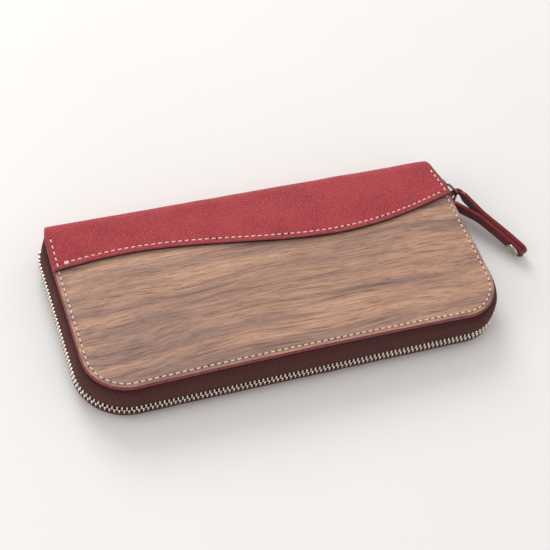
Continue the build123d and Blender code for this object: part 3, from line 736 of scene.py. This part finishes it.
def cover_layers():
    """Veneer, backing with its painted edge, stiffener, lining and card slots of both covers."""
    for side, cover in SIDES:
        lift = UNDERSIDE_LIFT if side < 0 else 0.0
        layers = [
            ("veneer", "walnut", "wood_panel", cover_grid(0.12, COVER_BACK), lift, lift + VENEER,
             [WALNUT, WALNUT, EDGE_PAINT], 0.1),
            ("backing", "edge_leather", "cover_backing", cover_grid(0.30, COVER_BACK), lift + VENEER,
             BACKING_DEPTH, [EDGE_PAINT], 0.8),
            ("stiffener", "board", "stiffener_board", cover_grid(6.3, COVER_BACK - 1), BACKING_DEPTH,
             BOARD_DEPTH, [BOARD], 0.05),
            ("inner_lining", "lining_leather", "lining", cover_grid(1.4, COVER_BACK), BOARD_DEPTH,
             LINING_DEPTH, [LINING, LINING, INNER_EDGE], 0.2),
        ]
        for i in range(SLOT_COUNT):
            grid = rectangle_grid(SLOT_HALF, SLOT_FIRST_EDGE + i * SLOT_STEP, SLOT_BACK)
            depth = SLOT_DEPTH + i * (SLOT_SHEET + SLOT_GAP)
            layers.append((f"card_sheet_{i + 1}", "inner_leather", f"card_slot_{i + 1}", grid, depth,
                           depth + SLOT_SHEET, [INNER_LEATHER, INNER_LEATHER, INNER_EDGE], 0.15))
        for name, slot, node, (x, y), outside, inside, materials, bulge in layers:
            outer = np.stack([x, y, level(side, outside, x, y)], axis=-1)
            inner = np.stack([x, y, level(side, inside, x, y)], axis=-1)
            piece = sheet_piece(f"{cover}_{name}", outer, inner, bulge, materials)
            place(piece, slot, [f"{cover}_{node}"], f"{cover}_half")


# Spine leather

def leather_dip(x, y):
    """Depth of the press of the stitch rows into the leather."""
    from_wave = y - wave_y(x) - STITCH_INSET
    from_side = SIDE - np.abs(x) - STITCH_INSET
    rows = np.exp(-(from_wave / 0.45) ** 2) + np.exp(-(from_side / 0.45) ** 2) * (y < SPINE_STITCH_END + 2)
    return STITCH_GROOVE * np.clip(rows, 0, 1)


def spine_profile(x):
    """Section of the spine leather at x, as outer points and their outward normals."""
    near = np.array([0, 0.25, 0.6, 1.0, 1.35, 1.65, 1.85, 2.0, 2.15, 2.35, 2.65, 3.0, 3.6])
    back = SPINE - SPINE_RADIUS
    flap = wave_y(x) + np.concatenate([near, np.linspace(near[-1], back - wave_y(x), 14)[1:]])
    curl = np.linspace(0, math.pi / 2, 11)[1:]
    points = [(y, float(level(1, 0, x, y)) + LEATHER) for y in flap]
    normals = [(0, 1)] * len(flap)
    for angle in curl:
        y = back + SPINE_RADIUS * math.sin(angle)
        normals.append((math.sin(angle), math.cos(angle)))
        points.append((y, float(level(1, 0, x, y)) + LEATHER + SPINE_RADIUS * (math.cos(angle) - 1)))
    wall = np.linspace(points[-1][1], SPINE_RADIUS, 12)[1:]
    for z in wall:
        normals.append((1, 0))
        points.append((SPINE, z))
    for angle in curl:
        normals.append((math.cos(angle), -math.sin(angle)))
        points.append((back + SPINE_RADIUS * math.cos(angle), SPINE_RADIUS - SPINE_RADIUS * math.sin(angle)))
    for y in flap[::-1][1:]:
        normals.append((0, -1))
        points.append((y, 0.0))
    return np.array(points), np.array(normals), len(flap)


def spine_leather():
    """The red leather in one piece, from its wavy edge round the spine to the underside's."""
    ends = np.array([0, 0.3, 0.8, 1.4, 1.7, 2.0, 2.3, 2.6, 3.2])
    xs = np.concatenate([-SIDE + ends, np.linspace(-SIDE + 4.2, SIDE - 4.2, 170), SIDE - ends[::-1]])
    outer, inner = [], []
    for x in xs:
        points, normals, flap = spine_profile(x)
        thickness = np.full(len(points), LEATHER - 0.03)
        thickness[-flap:] = np.linspace(LEATHER - 0.03, SKIVED_LEATHER, flap)
        sink = np.zeros(len(points))
        sink[:flap] = leather_dip(x, points[:flap, 0])
        sink[-flap:] = -FLAP_LIFT * np.linspace(0, 1, flap) ** 0.3
        sunk = points - normals * np.abs(sink)[:, None]
        outer.append([(x, y, z) for y, z in sunk])
        inner.append([(x, y, z) for y, z in points - normals * thickness[:, None]])
    outer, inner = np.array(outer), np.array(inner)
    soft = wobble(outer, 11.0, 0.16) * np.clip((outer[..., 2] - 3.0) / 4.0, 0, 1)
    outward = unit(outer - inner)
    outer += outward * soft[..., None]
    for grid in (outer, inner):
        grid[..., 0] -= drawn_in(grid[..., 0], grid[..., 1])
    vertices, faces, slots, uvs = thick_sheet(outer, inner, 0.8)
    # Below its top ring, the rim along the wavy edges takes the near-black edge colour: painted shade where
    # that rim is in shadow.
    centres = vertices[faces].mean(axis=1)
    from_wave = np.abs(centres[:, 1] - wave_y(centres[:, 0]))
    wave_rim_in_shade = (slots > 2) & (from_wave < 1.5) & (np.abs(centres[:, 0]) < SIDE - 0.3)
    slots = np.where(wave_rim_in_shade, 3, np.minimum(slots, 2))
    materials = [RED_LEATHER, FLESH_SIDE, EDGE_PAINT, WAVE_EDGE_SHADE]
    piece = add_piece("spine_leather", vertices, faces, materials, slots, uvs)
    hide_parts("spine_leather_lower", "spine_leather_upper")
    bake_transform(piece)


# Stitching

def stitch_shape(length, radius, plies=2, turns=1.6, stations=11, sides=10):
    """One stitch along x, of twisted thread that dips into its holes at both ends."""
    rings = []
    for share in np.linspace(-1, 1, stations):
        body = (1 - share ** 6) ** 0.5
        height = radius * (0.75 * (1 - share ** 4) - 0.25)
        ring = []
        for angle in np.linspace(0, math.tau, sides, endpoint=False):
            ply = 1 + 0.13 * math.cos(plies * (angle - turns * math.pi * share))
            width = radius * ply * (0.35 + 0.65 * body)
            ring.append((share * length / 2, width * math.cos(angle), height + 0.8 * width * math.sin(angle)))
        rings.append(ring)
    return loft(np.array(rings))


def hole_shape(radius, stretch=1.35, sides=10):
    """A dished needle hole that lies in the surface."""
    angles = np.linspace(0, math.tau, sides, endpoint=False)
    circle = np.stack([stretch * np.cos(angles), np.sin(angles)], axis=1)
    rings = [np.column_stack([radius * size * circle, np.full(sides, z)])
             for size, z in ((1.0, -0.08), (0.95, 0.035), (0.7, 0.02), (0.25, -0.05))]
    return loft(np.array(rings))


def surface_z(side, x, y):
    """Height of a cover's outer surface: the leather's, or the wood's in front of the wavy edge."""
    on_leather = y > wave_y(x) + 0.2
    if side < 0:
        return FLAP_LIFT if on_leather else UNDERSIDE_LIFT
    return float(level(1, 0, x, y)) + (LEATHER - STITCH_GROOVE if on_leather else 0.0)


def stitch_row(side, frames):
    """Stitches and needle holes at (point, along, scale) places on a cover's surface."""
    thread, holes = [], []
    up = np.array([0, 0, side])
    for (x, y), along, scale in frames:
        along = np.array([*along, 0.0])
        slant = unit(along + 0.05 * np.cross(up, along))
        across = np.cross(up, slant)
        centre = np.array([x, y, surface_z(side, x, y)])
        shape = stitch_shape(STITCH_LENGTH * scale[0], STITCH_RADIUS * scale[1])
        thread.append(moved(shape, centre, slant, across, up))
        ahead = centre + along * STITCH_PITCH / 2
        ahead[2] = surface_z(side, ahead[0], ahead[1])
        holes.append(moved(hole_shape(HOLE_RADIUS), ahead, slant, across, up))
    return thread, holes


def stitch_piece(name, side, frames, node, body):
    """One row of stitching as a piece of thread with needle holes painted dark as shade."""
    thread, holes = stitch_row(side, frames)
    thread_vertices, thread_faces = joined(thread)
    vertices, faces = joined([(thread_vertices, thread_faces), joined(holes)])
    slots = np.repeat([0, 1], [len(thread_faces), len(faces) - len(thread_faces)])
    piece = add_piece(name, vertices, faces, [THREAD, HOLE_SHADE], slots, sharp=60.0)
    place(piece, "thread", [node], body)


def stitching():
    """Rows round the edge and along the wavy edge, on both covers."""
    total = edge_length(-STITCH_INSET, SPINE_STITCH_END)
    count = int(total / STITCH_PITCH)
    margin = (total - (count - 1) * STITCH_PITCH) / 2
    edge = []
    for i in range(count):
        point, along, _ = edge_frame(margin + i * STITCH_PITCH, -STITCH_INSET, SPINE_STITCH_END)
        end_stitch = i in (0, count - 1)
        edge.append((point, along, (0.8, 1.35) if end_stitch else (1.0, 1.0)))
    line = resampled(np.column_stack([WAVE_LINE[:, 0], WAVE_LINE[:, 1] + STITCH_INSET]), STITCH_PITCH)
    inner = line[np.abs(line[:, 0]) < SIDE - 2.2 * STITCH_INSET]
    ways = unit(np.gradient(inner, axis=0))
    wave = [(tuple(p), tuple(w), (1.0, 1.0)) for p, w in zip(inner, ways)]
    for index in (0, -1):
        point, along, _ = wave[index]
        shift = np.array([-along[1], along[0]]) * STITCH_RADIUS
        wave[index] = (tuple(point + shift), along, (1.1, 1.1))
        wave.append((tuple(point - shift), along, (1.1, 1.1)))
    for side, cover in SIDES:
        for row, frames in (("edge", edge), ("wave", wave)):
            stitch_piece(f"{cover}_{row}_stitching", side, frames, f"{cover}_{row}_thread", f"{cover}_half")


# Zip round the edge

def tape_profile(side):
    """Middle line of a tape's section, from the teeth to inside the cover.
    Its points are the outset from the cover's edge and the height above the hinge plane."""
    rim = CHAIN_OFFSET - 0.8
    if side > 0:
        shape = [(CHAIN_OFFSET, TAPE_EDGE), (CHAIN_OFFSET, 3.4), (CHAIN_OFFSET - 0.1, 6.0), (rim, 9.0),
                 (0.9, 10.9), (-0.6, 11.5), (-4.5, 11.55)]
    else:
        shape = [(CHAIN_OFFSET, TAPE_EDGE), (CHAIN_OFFSET + 0.6, 3.0), (CHAIN_OFFSET, 5.0), (0.9, 6.1),
                 (-0.6, 6.35), (-4.5, 6.35)]
    return spline(shape, 26)


def zip_tape(side, cover):
    """Woven tape that bulges out from between the cover's layers to the teeth."""
    line = tape_profile(side)
    top = line[-1, 1]
    normals = right_hand(line)
    total = edge_length(0, TAPE_BACK)
    outer, inner = [], []
    for distance in np.linspace(0, total, int(total / 1.6)):
        (x, y), _, out = edge_frame(distance, 0.0, TAPE_BACK)
        reach = abs(float(level(side, TAPE_DEPTH, x, y)) - HINGE_Z)
        stretch = (reach - TAPE_EDGE) / (top - TAPE_EDGE)
        share = bulge_share(x, y)
        for grid, shift in ((outer, TAPE / 2), (inner, -TAPE / 2)):
            section = line + normals * shift
            heights = HINGE_Z + side * (TAPE_EDGE + (section[:, 1] - TAPE_EDGE) * stretch)
            outsets = np.where(section[:, 0] > 0, section[:, 0] * share, section[:, 0])
            grid.append([(x + out[0] * o, y + out[1] * o, z) for o, z in zip(outsets, heights)])
    outer, inner = np.array(outer), np.array(inner)
    buckle = wobble(outer, 7.0, 0.22) * np.sin(np.linspace(0, math.pi, len(line))) ** 2
    outward = unit(outer - inner)
    outer += outward * buckle[..., None]
    inner += outward * buckle[..., None]
    piece = sheet_piece(f"{cover}_tape", outer, inner, 0.2, [ZIP_TAPE])
    place(piece, "zip_tape", [f"{cover}_zip_tape"], f"{cover}_half")


def tooth_shape(half_length, height, half_depth=TOOTH_HALF_DEPTH):
    """One tooth: x along the chain, y outwards, z from the row's head to its foot."""
    profile = [(0.00, 0.45, 0.55), (0.10, 0.82, 0.80), (0.35, 1.0, 0.95), (0.62, 1.0, 1.0), (0.80, 0.78, 1.0),
               (1.15, 0.72, 0.94), (1.70, 0.84, 0.97), (2.10, 0.80, 0.93), (2.28, 0.5, 0.75)]
    angles = np.linspace(0, math.tau, 16, endpoint=False)
    cosine, sine = np.cos(angles), np.sin(angles)
    square = (np.abs(cosine) ** 4 + np.abs(sine) ** 4) ** -0.25
    rings = [np.column_stack([cosine * square * half_length * along, sine * square * half_depth * depth,
                              np.full(len(angles), HEAD_GAP + z / TOOTH_HEIGHT * (height - HEAD_GAP))])
             for z, along, depth in profile]
    return loft(np.array(rings))


def zip_rows():
    """Two rows of teeth half a pitch apart, and the stops at their ends."""
    total = edge_length(CHAIN_OFFSET, TAPE_BACK)
    tooth = tooth_shape(TOOTH_HALF_LENGTH, TOOTH_HEIGHT)
    stop = tooth_shape(TOOTH_HALF_LENGTH * STOP_STRETCH, TOOTH_HEIGHT)
    for side, cover in SIDES:
        start = TAPE_BACK - RIGHT_TEETH_BACK[side]
        first = math.ceil(start / TOOTH_PITCH) * TOOTH_PITCH + side * TOOTH_PITCH / 4
        places = np.arange(first, total - (TAPE_BACK - LEFT_TEETH_BACK), TOOTH_PITCH)
        ends = [TAPE_BACK - RIGHT_STOP_Y, total - (TAPE_BACK - LEFT_STOP_Y)]
        for name, shape, distances in (("teeth", tooth, places), ("stops", stop, ends)):
            parts = []
            for distance in distances:
                (x, y), along, out = edge_frame(distance, CHAIN_OFFSET, TAPE_BACK)
                parts.append(moved(shape, (x, y, HINGE_Z), (*along, 0), (*out, 0), (0, 0, side)))
            vertices, faces = joined(parts)
            piece = add_piece(f"{cover}_row_{name}", vertices, faces, [TOOTH_METAL])
            node = f"{cover}_zip_teeth" if name == "teeth" else f"{cover}_end_stops"
            place(piece, "zip_metal", [node], f"{cover}_half")


# Slider, link and strap

def metal_parts():
    """Machined pieces keep their CAD shape, with rounded edges and plated metal."""
    roundings = {"zip_slider_body": 0.22, "pull_link": 0.3, "coin_slider_body": 0.15, "coin_pull_tab": 0.18}
    for name, width in roundings.items():
        part = frame["nodes"][name]
        part.data.materials.clear()
        part.data.materials.append(LINK_METAL if name == "pull_link" else SLIDER_METAL)
        weld = part.modifiers.new("weld", "WELD")
        weld.merge_threshold = 0.001 * MM
        rounding = part.modifiers.new("rounding", "BEVEL")
        rounding.width = width * MM
        rounding.segments = 3
        rounding.limit_method = "ANGLE"
        rounding.angle_limit = math.radians(35)
        rounding.harden_normals = True


def strap_frame():
    """The link's bar that the strap turns on, the way the strap runs, and its roll and tilt."""
    joint = next(joint for joint in frame["joints"] if joint["name"] == "strap_swing")
    bar = np.array(joint["pos_m"]) / MM
    run = unit(np.array([NEAR_LEG[0][0] - bar[0], NEAR_LEG[0][1] - bar[1], 0.0]))
    tilt = Matrix.Rotation(STRAP_TILT, 3, Vector(np.cross((0, 0, 1), run)))
    return bar, run, np.array(tilt @ Matrix.Rotation(STRAP_ROLL, 3, Vector(run)))


def hang(points):
    """Roll and tilt points of the strap about the link's bar."""
    bar, _, turn = strap_frame()
    return bar + (points - bar) @ turn.T


def strap():
    """Leather strap folded through the link."""
    line = resampled(rounded_line(NEAR_LEG + FAR_LEG, STRAP_RADII), 0.7)
    along = travelled(line)
    across = -right_hand(line)
    to_end = np.minimum(along, along[-1] - along)
    inside_tip = np.clip(1 - to_end / STRAP_TIP_RADIUS, 0, 1)
    half = STRAP_WIDTH / 2 - STRAP_TIP_RADIUS * (1 - np.sqrt(1 - inside_tip ** 2 * 0.98))
    bar, run, _ = strap_frame()
    neck = smooth_step((line - bar[:2]) @ run[:2], NECK_END, NECK_SHOULDER)
    half -= (STRAP_WIDTH - NECK_WIDTH) / 2 * (1 - neck)
    shares = np.array([-1, -0.93, -0.75, -0.45, 0, 0.45, 0.75, 0.93, 1])
    heights = HINGE_Z + half[:, None] * shares
    crown = STRAP_CROWN * (1 - shares ** 2)
    outer, inner = [], []
    for grid, sign in ((outer, 1), (inner, -1)):
        shift = sign * (STRAP_THICKNESS / 2 - STRAP_CROWN + crown * (sign > 0))
        for (x, y), out, zs in zip(line, across, heights):
            grid.append([(x + out[0] * s, y + out[1] * s, z) for s, z in zip(shift, zs)])
    vertices, faces, slots, uvs = thick_sheet(np.array(outer), np.array(inner), 0.35, rim_steps=5)
    materials = [STRAP_LEATHER, STRAP_SUEDE, STRAP_EDGE]
    piece = add_piece("pull_strap_leather", hang(vertices), faces, materials, slots, uvs)
    place(piece, "strap_leather", ["strap_leather"], "pull_strap")


def turned(profile, sides=40):
    """Solid of revolution about z from (radius, height) points."""
    angles = np.linspace(0, math.tau, sides, endpoint=False)
    rings = [np.column_stack([r * np.cos(angles), r * np.sin(angles), np.full(sides, z)])
             for r, z in profile]
    return loft(np.array(rings))


def rivet():
    """Cap with a rolled rim and a brushed centre on the near leg, and the post on the far leg."""
    tip, bend = (np.array([*point, HINGE_Z]) for point in NEAR_LEG[:2])
    along = unit(tip - bend)
    across = np.cross((0, 0, 1), along)
    centre = tip - along * RIVET_FROM_TIP + across * STRAP_THICKNESS / 2
    cap = turned([(0.3, 0), (3.4, 0), (3.6, 0.15), (3.6, 0.50), (3.4, 0.74), (3.0, 0.80), (2.65, 0.66),
                  (2.4, 0.42), (1.8, 0.42), (0.9, 0.50), (0.3, 0.53)])
    post = turned([(1.35, -2 * STRAP_THICKNESS), (1.35, 0), (2.6, 0), (2.8, 0.15), (2.75, 0.40), (2.3, 0.55),
                   (1.4, 0.58),
                   (1.1, 0.50), (0.9, 0.25), (0.2, 0.2)])
    halves = (("rivet_cap_disc", cap, "rivet_cap", -1), ("rivet_post_head", post, "rivet_post", 1))
    for name, shape, node, way in halves:
        seat = centre + way * across * STRAP_THICKNESS
        vertices, faces = moved(shape, seat, along, (0, 0, 1), way * across)
        piece = add_piece(name, hang(vertices), faces, [SLIDER_METAL])
        place(piece, "slider_metal", [node], "pull_strap")


# Inside

def leaves():
    """The banknote dividers and the coin pocket's walls: flat leaves with rounded edges."""
    bulge = 0.2
    for name, front in (("lower_note_divider", DIVIDER_FRONT), ("upper_note_divider", DIVIDER_FRONT),
                        ("coin_pocket_lower_wall", POCKET_FRONT), ("coin_pocket_upper_wall", POCKET_FRONT)):
        low, high = (corner[2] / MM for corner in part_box(name))
        x, y = rectangle_grid(LEAF_HALF - bulge, front + bulge, LEAF_BACK - bulge, 60, 30)
        lower, upper = (np.stack([x, y, np.full_like(x, z)], axis=-1) for z in (low, high))
        soft = wobble(lower, 30.0, 0.15)
        lower[..., 2] += soft
        upper[..., 2] += soft
        materials = [INNER_LEATHER, INNER_LEATHER, INNER_EDGE]
        piece = sheet_piece(f"{name}_leather", upper, lower, bulge, materials)
        body = "coin_pocket" if "pocket" in name else name.replace("_note", "")
        place(piece, "inner_leather", [name], body)


def pocket_band():
    """Cloth band that closes the coin pocket at its back and both sides, folded into a crease."""
    low, high = (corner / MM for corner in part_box("coin_pocket_edge_band"))
    corner, front, back = high[0], low[1], high[1]
    line = rounded_line([(corner, front), (corner, back), (-corner, back), (-corner, front)], [4.0, 4.0])
    line = resampled(line, 2.0)
    out = right_hand(line)
    out *= np.sign(out[len(out) // 2][1])
    fold = spline([(-2.4, low[2] + 0.2), (-0.9, low[2] + 0.5), (-1.7, (low[2] + high[2]) / 2),
                   (-0.9, high[2] - 0.5), (-2.4, high[2] - 0.2)], 17)
    outer, inner = (np.array([[(x + o[0] * (s - shift), y + o[1] * (s - shift), z) for s, z in fold]
                              for (x, y), o in zip(line, out)]) for shift in (0, CLOTH))
    piece = sheet_piece("coin_pocket_band", outer, inner, 0.08, [TWILL])
    place(piece, "gusset_cloth", ["coin_pocket_edge_band"], "coin_pocket")


def gusset_fold(name, way, low, high, nodes):
    """One fold of a side gusset between two leaves. It is too short for the full opening."""
    middle = (low + high) / 2
    tip = GUSSET_TIP - GUSSET_INNER
    reach = min(0.35, (high - low) / 4)
    fold = spline([(0, low), (tip * 0.5, low + reach * 0.4), (tip * 0.93, middle - reach), (tip, middle),
                   (tip * 0.93, middle + reach), (tip * 0.5, high - reach * 0.4), (0, high)], 33)
    outer, inner = (np.array([[(way * (GUSSET_INNER + s), y, z) for s, z in fold - right_hand(fold) * shift]
                              for y in np.linspace(GUSSET_FRONT, GUSSET_BACK, 36)]) for shift in (0, CLOTH))
    piece = sheet_piece(name, outer, inner, 0.06, [TWILL])
    if nodes:
        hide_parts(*nodes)
    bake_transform(piece)


def gussets():
    """Four folds on each side, between the covers, the dividers and the coin pocket."""
    slots_depth = SLOT_DEPTH + SLOT_COUNT * (SLOT_SHEET + SLOT_GAP)
    lower_slots = slots_depth + 0.1
    upper_slots = float(level(1, slots_depth, GUSSET_TIP, GUSSET_BACK)) - 0.1
    lower_divider = [corner[2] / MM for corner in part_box("lower_note_divider")]
    upper_divider = [corner[2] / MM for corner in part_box("upper_note_divider")]
    pocket_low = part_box("coin_pocket_lower_wall")[0][2] / MM
    pocket_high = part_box("coin_pocket_upper_wall")[1][2] / MM
    folds = [(lower_slots, lower_divider[0], (0.0, 0.25)), (lower_divider[1], pocket_low, (0.25, 0.5)),
             (pocket_high, upper_divider[0], (0.5, 0.75)), (upper_divider[1], upper_slots, (0.75, 1.0))]
    for way, hand in ((-1, "left"), (1, "right")):
        for i, (low, high, weights) in enumerate(folds):
            nodes = [f"{hand}_gusset"] if i == 0 else []
            gusset_fold(f"{hand}_gusset_fold_{i + 1}", way, low, high, nodes)


def coin_zip():
    """Tapes, teeth and stops of the coin pocket's zip."""
    tape_low, tape_high = (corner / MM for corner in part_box("coin_zip_lower_tape"))
    teeth_low, teeth_high = (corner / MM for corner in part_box("coin_zip_teeth"))
    stops_low, stops_high = (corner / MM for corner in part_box("coin_zip_stops"))
    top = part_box("coin_zip_upper_tape")[1][2] / MM
    middle_y, middle_z = (teeth_low[1] + teeth_high[1]) / 2, (tape_low[2] + top) / 2
    half_depth = (teeth_high[1] - teeth_low[1]) / 2
    height = (teeth_high[2] - teeth_low[2]) / 2
    for side, row in SIDES:
        wall = side * (top - middle_z - COIN_TAPE_HALF)
        line = spline([(0, side * 0.7), (0, 0.72 * wall), (0.6, 0.97 * wall), (2.2, wall), (9.6, wall)], 20)
        faces = (line + right_hand(line) * shift for shift in (COIN_TAPE_HALF, -COIN_TAPE_HALF))
        outer, inner = (np.array([[(x, middle_y + y, middle_z + z) for y, z in face]
                                  for x in np.linspace(tape_low[0], tape_high[0], 90)]) for face in faces)
        piece = sheet_piece(f"coin_zip_{row}_cloth", outer, inner, 0.12, [ZIP_TAPE])
        place(piece, "zip_tape", [f"coin_zip_{row}_tape"], "coin_pocket")
    teeth = np.arange(teeth_low[0] + COIN_TOOTH_MARGIN, teeth_high[0] - COIN_TOOTH_MARGIN / 2, TOOTH_PITCH)
    stops = np.array([stops_low[0] + COIN_STOP_HALF, stops_high[0] - COIN_STOP_HALF])
    for name, places, half_length, stagger in (("teeth", teeth, TOOTH_HALF_LENGTH, TOOTH_PITCH / 4),
                                               ("stops", stops, TOOTH_HALF_LENGTH * STOP_STRETCH, 0)):
        shape = tooth_shape(half_length, height, half_depth)
        parts = [moved(shape, (x + side * stagger, middle_y, middle_z), (1, 0, 0), (0, 1, 0), (0, 0, side))
                 for side, _ in SIDES for x in places]
        vertices, faces = joined(parts)
        piece = add_piece(f"coin_{name}", vertices, faces, [TOOTH_METAL])
        place(piece, "zip_metal", [f"coin_zip_{name}"], "coin_pocket")


# Studio

def studio():
    """Pale floor, even sky, a soft light behind the wallet and a weaker one on its left."""
    floor_z = cad_bounds[0][2] - FLOOR_GAP * MM
    corners = [(x * FLOOR_REACH * MM, y * FLOOR_REACH * MM, floor_z)
               for x, y in ((-1, -1), (1, -1), (1, 1), (-1, 1))]
    mesh = bpy.data.meshes.new("floor")
    mesh.from_pydata(corners, [], [(0, 1, 2, 3)])
    mesh.materials.append(mottled_material("pale_floor", 0.2, 0.004, (0.83, 0.82, 0.805), (0.86, 0.85, 0.835),
                                           (0.7, 0.8)))
    floor = bpy.data.objects.new("floor", mesh)
    bpy.context.scene.collection.objects.link(floor)

    world = bpy.data.worlds.new("studio_sky")
    world.use_nodes = True
    background = world.node_tree.nodes["Background"]
    background.inputs["Color"].default_value = (1.0, 0.965, 0.95, 1.0)
    background.inputs["Strength"].default_value = 0.76
    bpy.context.scene.world = world
    bpy.context.scene.view_settings.view_transform = "Standard"

    lights = (("window", (-0.12, 1.20, 0.95), 0.90, 10.5, (0.975, 0.995, 1.0)),
              ("fill", (-1.0, -0.05, 0.50), 0.9, 3.2, (1.0, 0.99, 0.975)))
    for name, position, size, power, colour in lights:
        data = bpy.data.lights.new(name, "AREA")
        data.shape = "DISK"
        data.size = size
        data.energy = power
        data.color = colour
        lamp = bpy.data.objects.new(name, data)
        lamp.location = position
        lamp.rotation_mode = "QUATERNION"
        lamp.rotation_quaternion = (-Vector(position)).to_track_quat("-Z", "Y")
        bpy.context.scene.collection.objects.link(lamp)


def camera():
    """The camera: where it looks from, and how it is turned about its own axis."""
    azimuth, elevation, roll = (math.radians(angle) for angle in CAMERA_ANGLES)
    back = Vector((math.sin(azimuth) * math.cos(elevation), -math.cos(azimuth) * math.cos(elevation),
                   math.sin(elevation)))
    level_right = Vector((math.cos(azimuth), math.sin(azimuth), 0))
    level_up = back.cross(level_right)
    right = level_right * math.cos(roll) + level_up * math.sin(roll)
    up = level_up * math.cos(roll) - level_right * math.sin(roll)
    data = bpy.data.cameras.new("camera")
    data.lens = CAMERA_LENS
    data.sensor_width = CAMERA_SENSOR
    data.clip_start = 0.01
    view = bpy.data.objects.new("camera", data)
    position = Matrix.Translation((Vector(CAMERA_AIM) + back * CAMERA_DISTANCE) * MM)
    view.matrix_world = position @ Matrix((right, up, back)).transposed().to_4x4()
    bpy.context.scene.collection.objects.link(view)
    bpy.context.scene.camera = view


cover_layers()
spine_leather()
stitching()
for zip_side, zip_cover in SIDES:
    zip_tape(zip_side, zip_cover)
zip_rows()
metal_parts()
strap()
rivet()
leaves()
pocket_band()
gussets()
coin_zip()
studio()
camera()
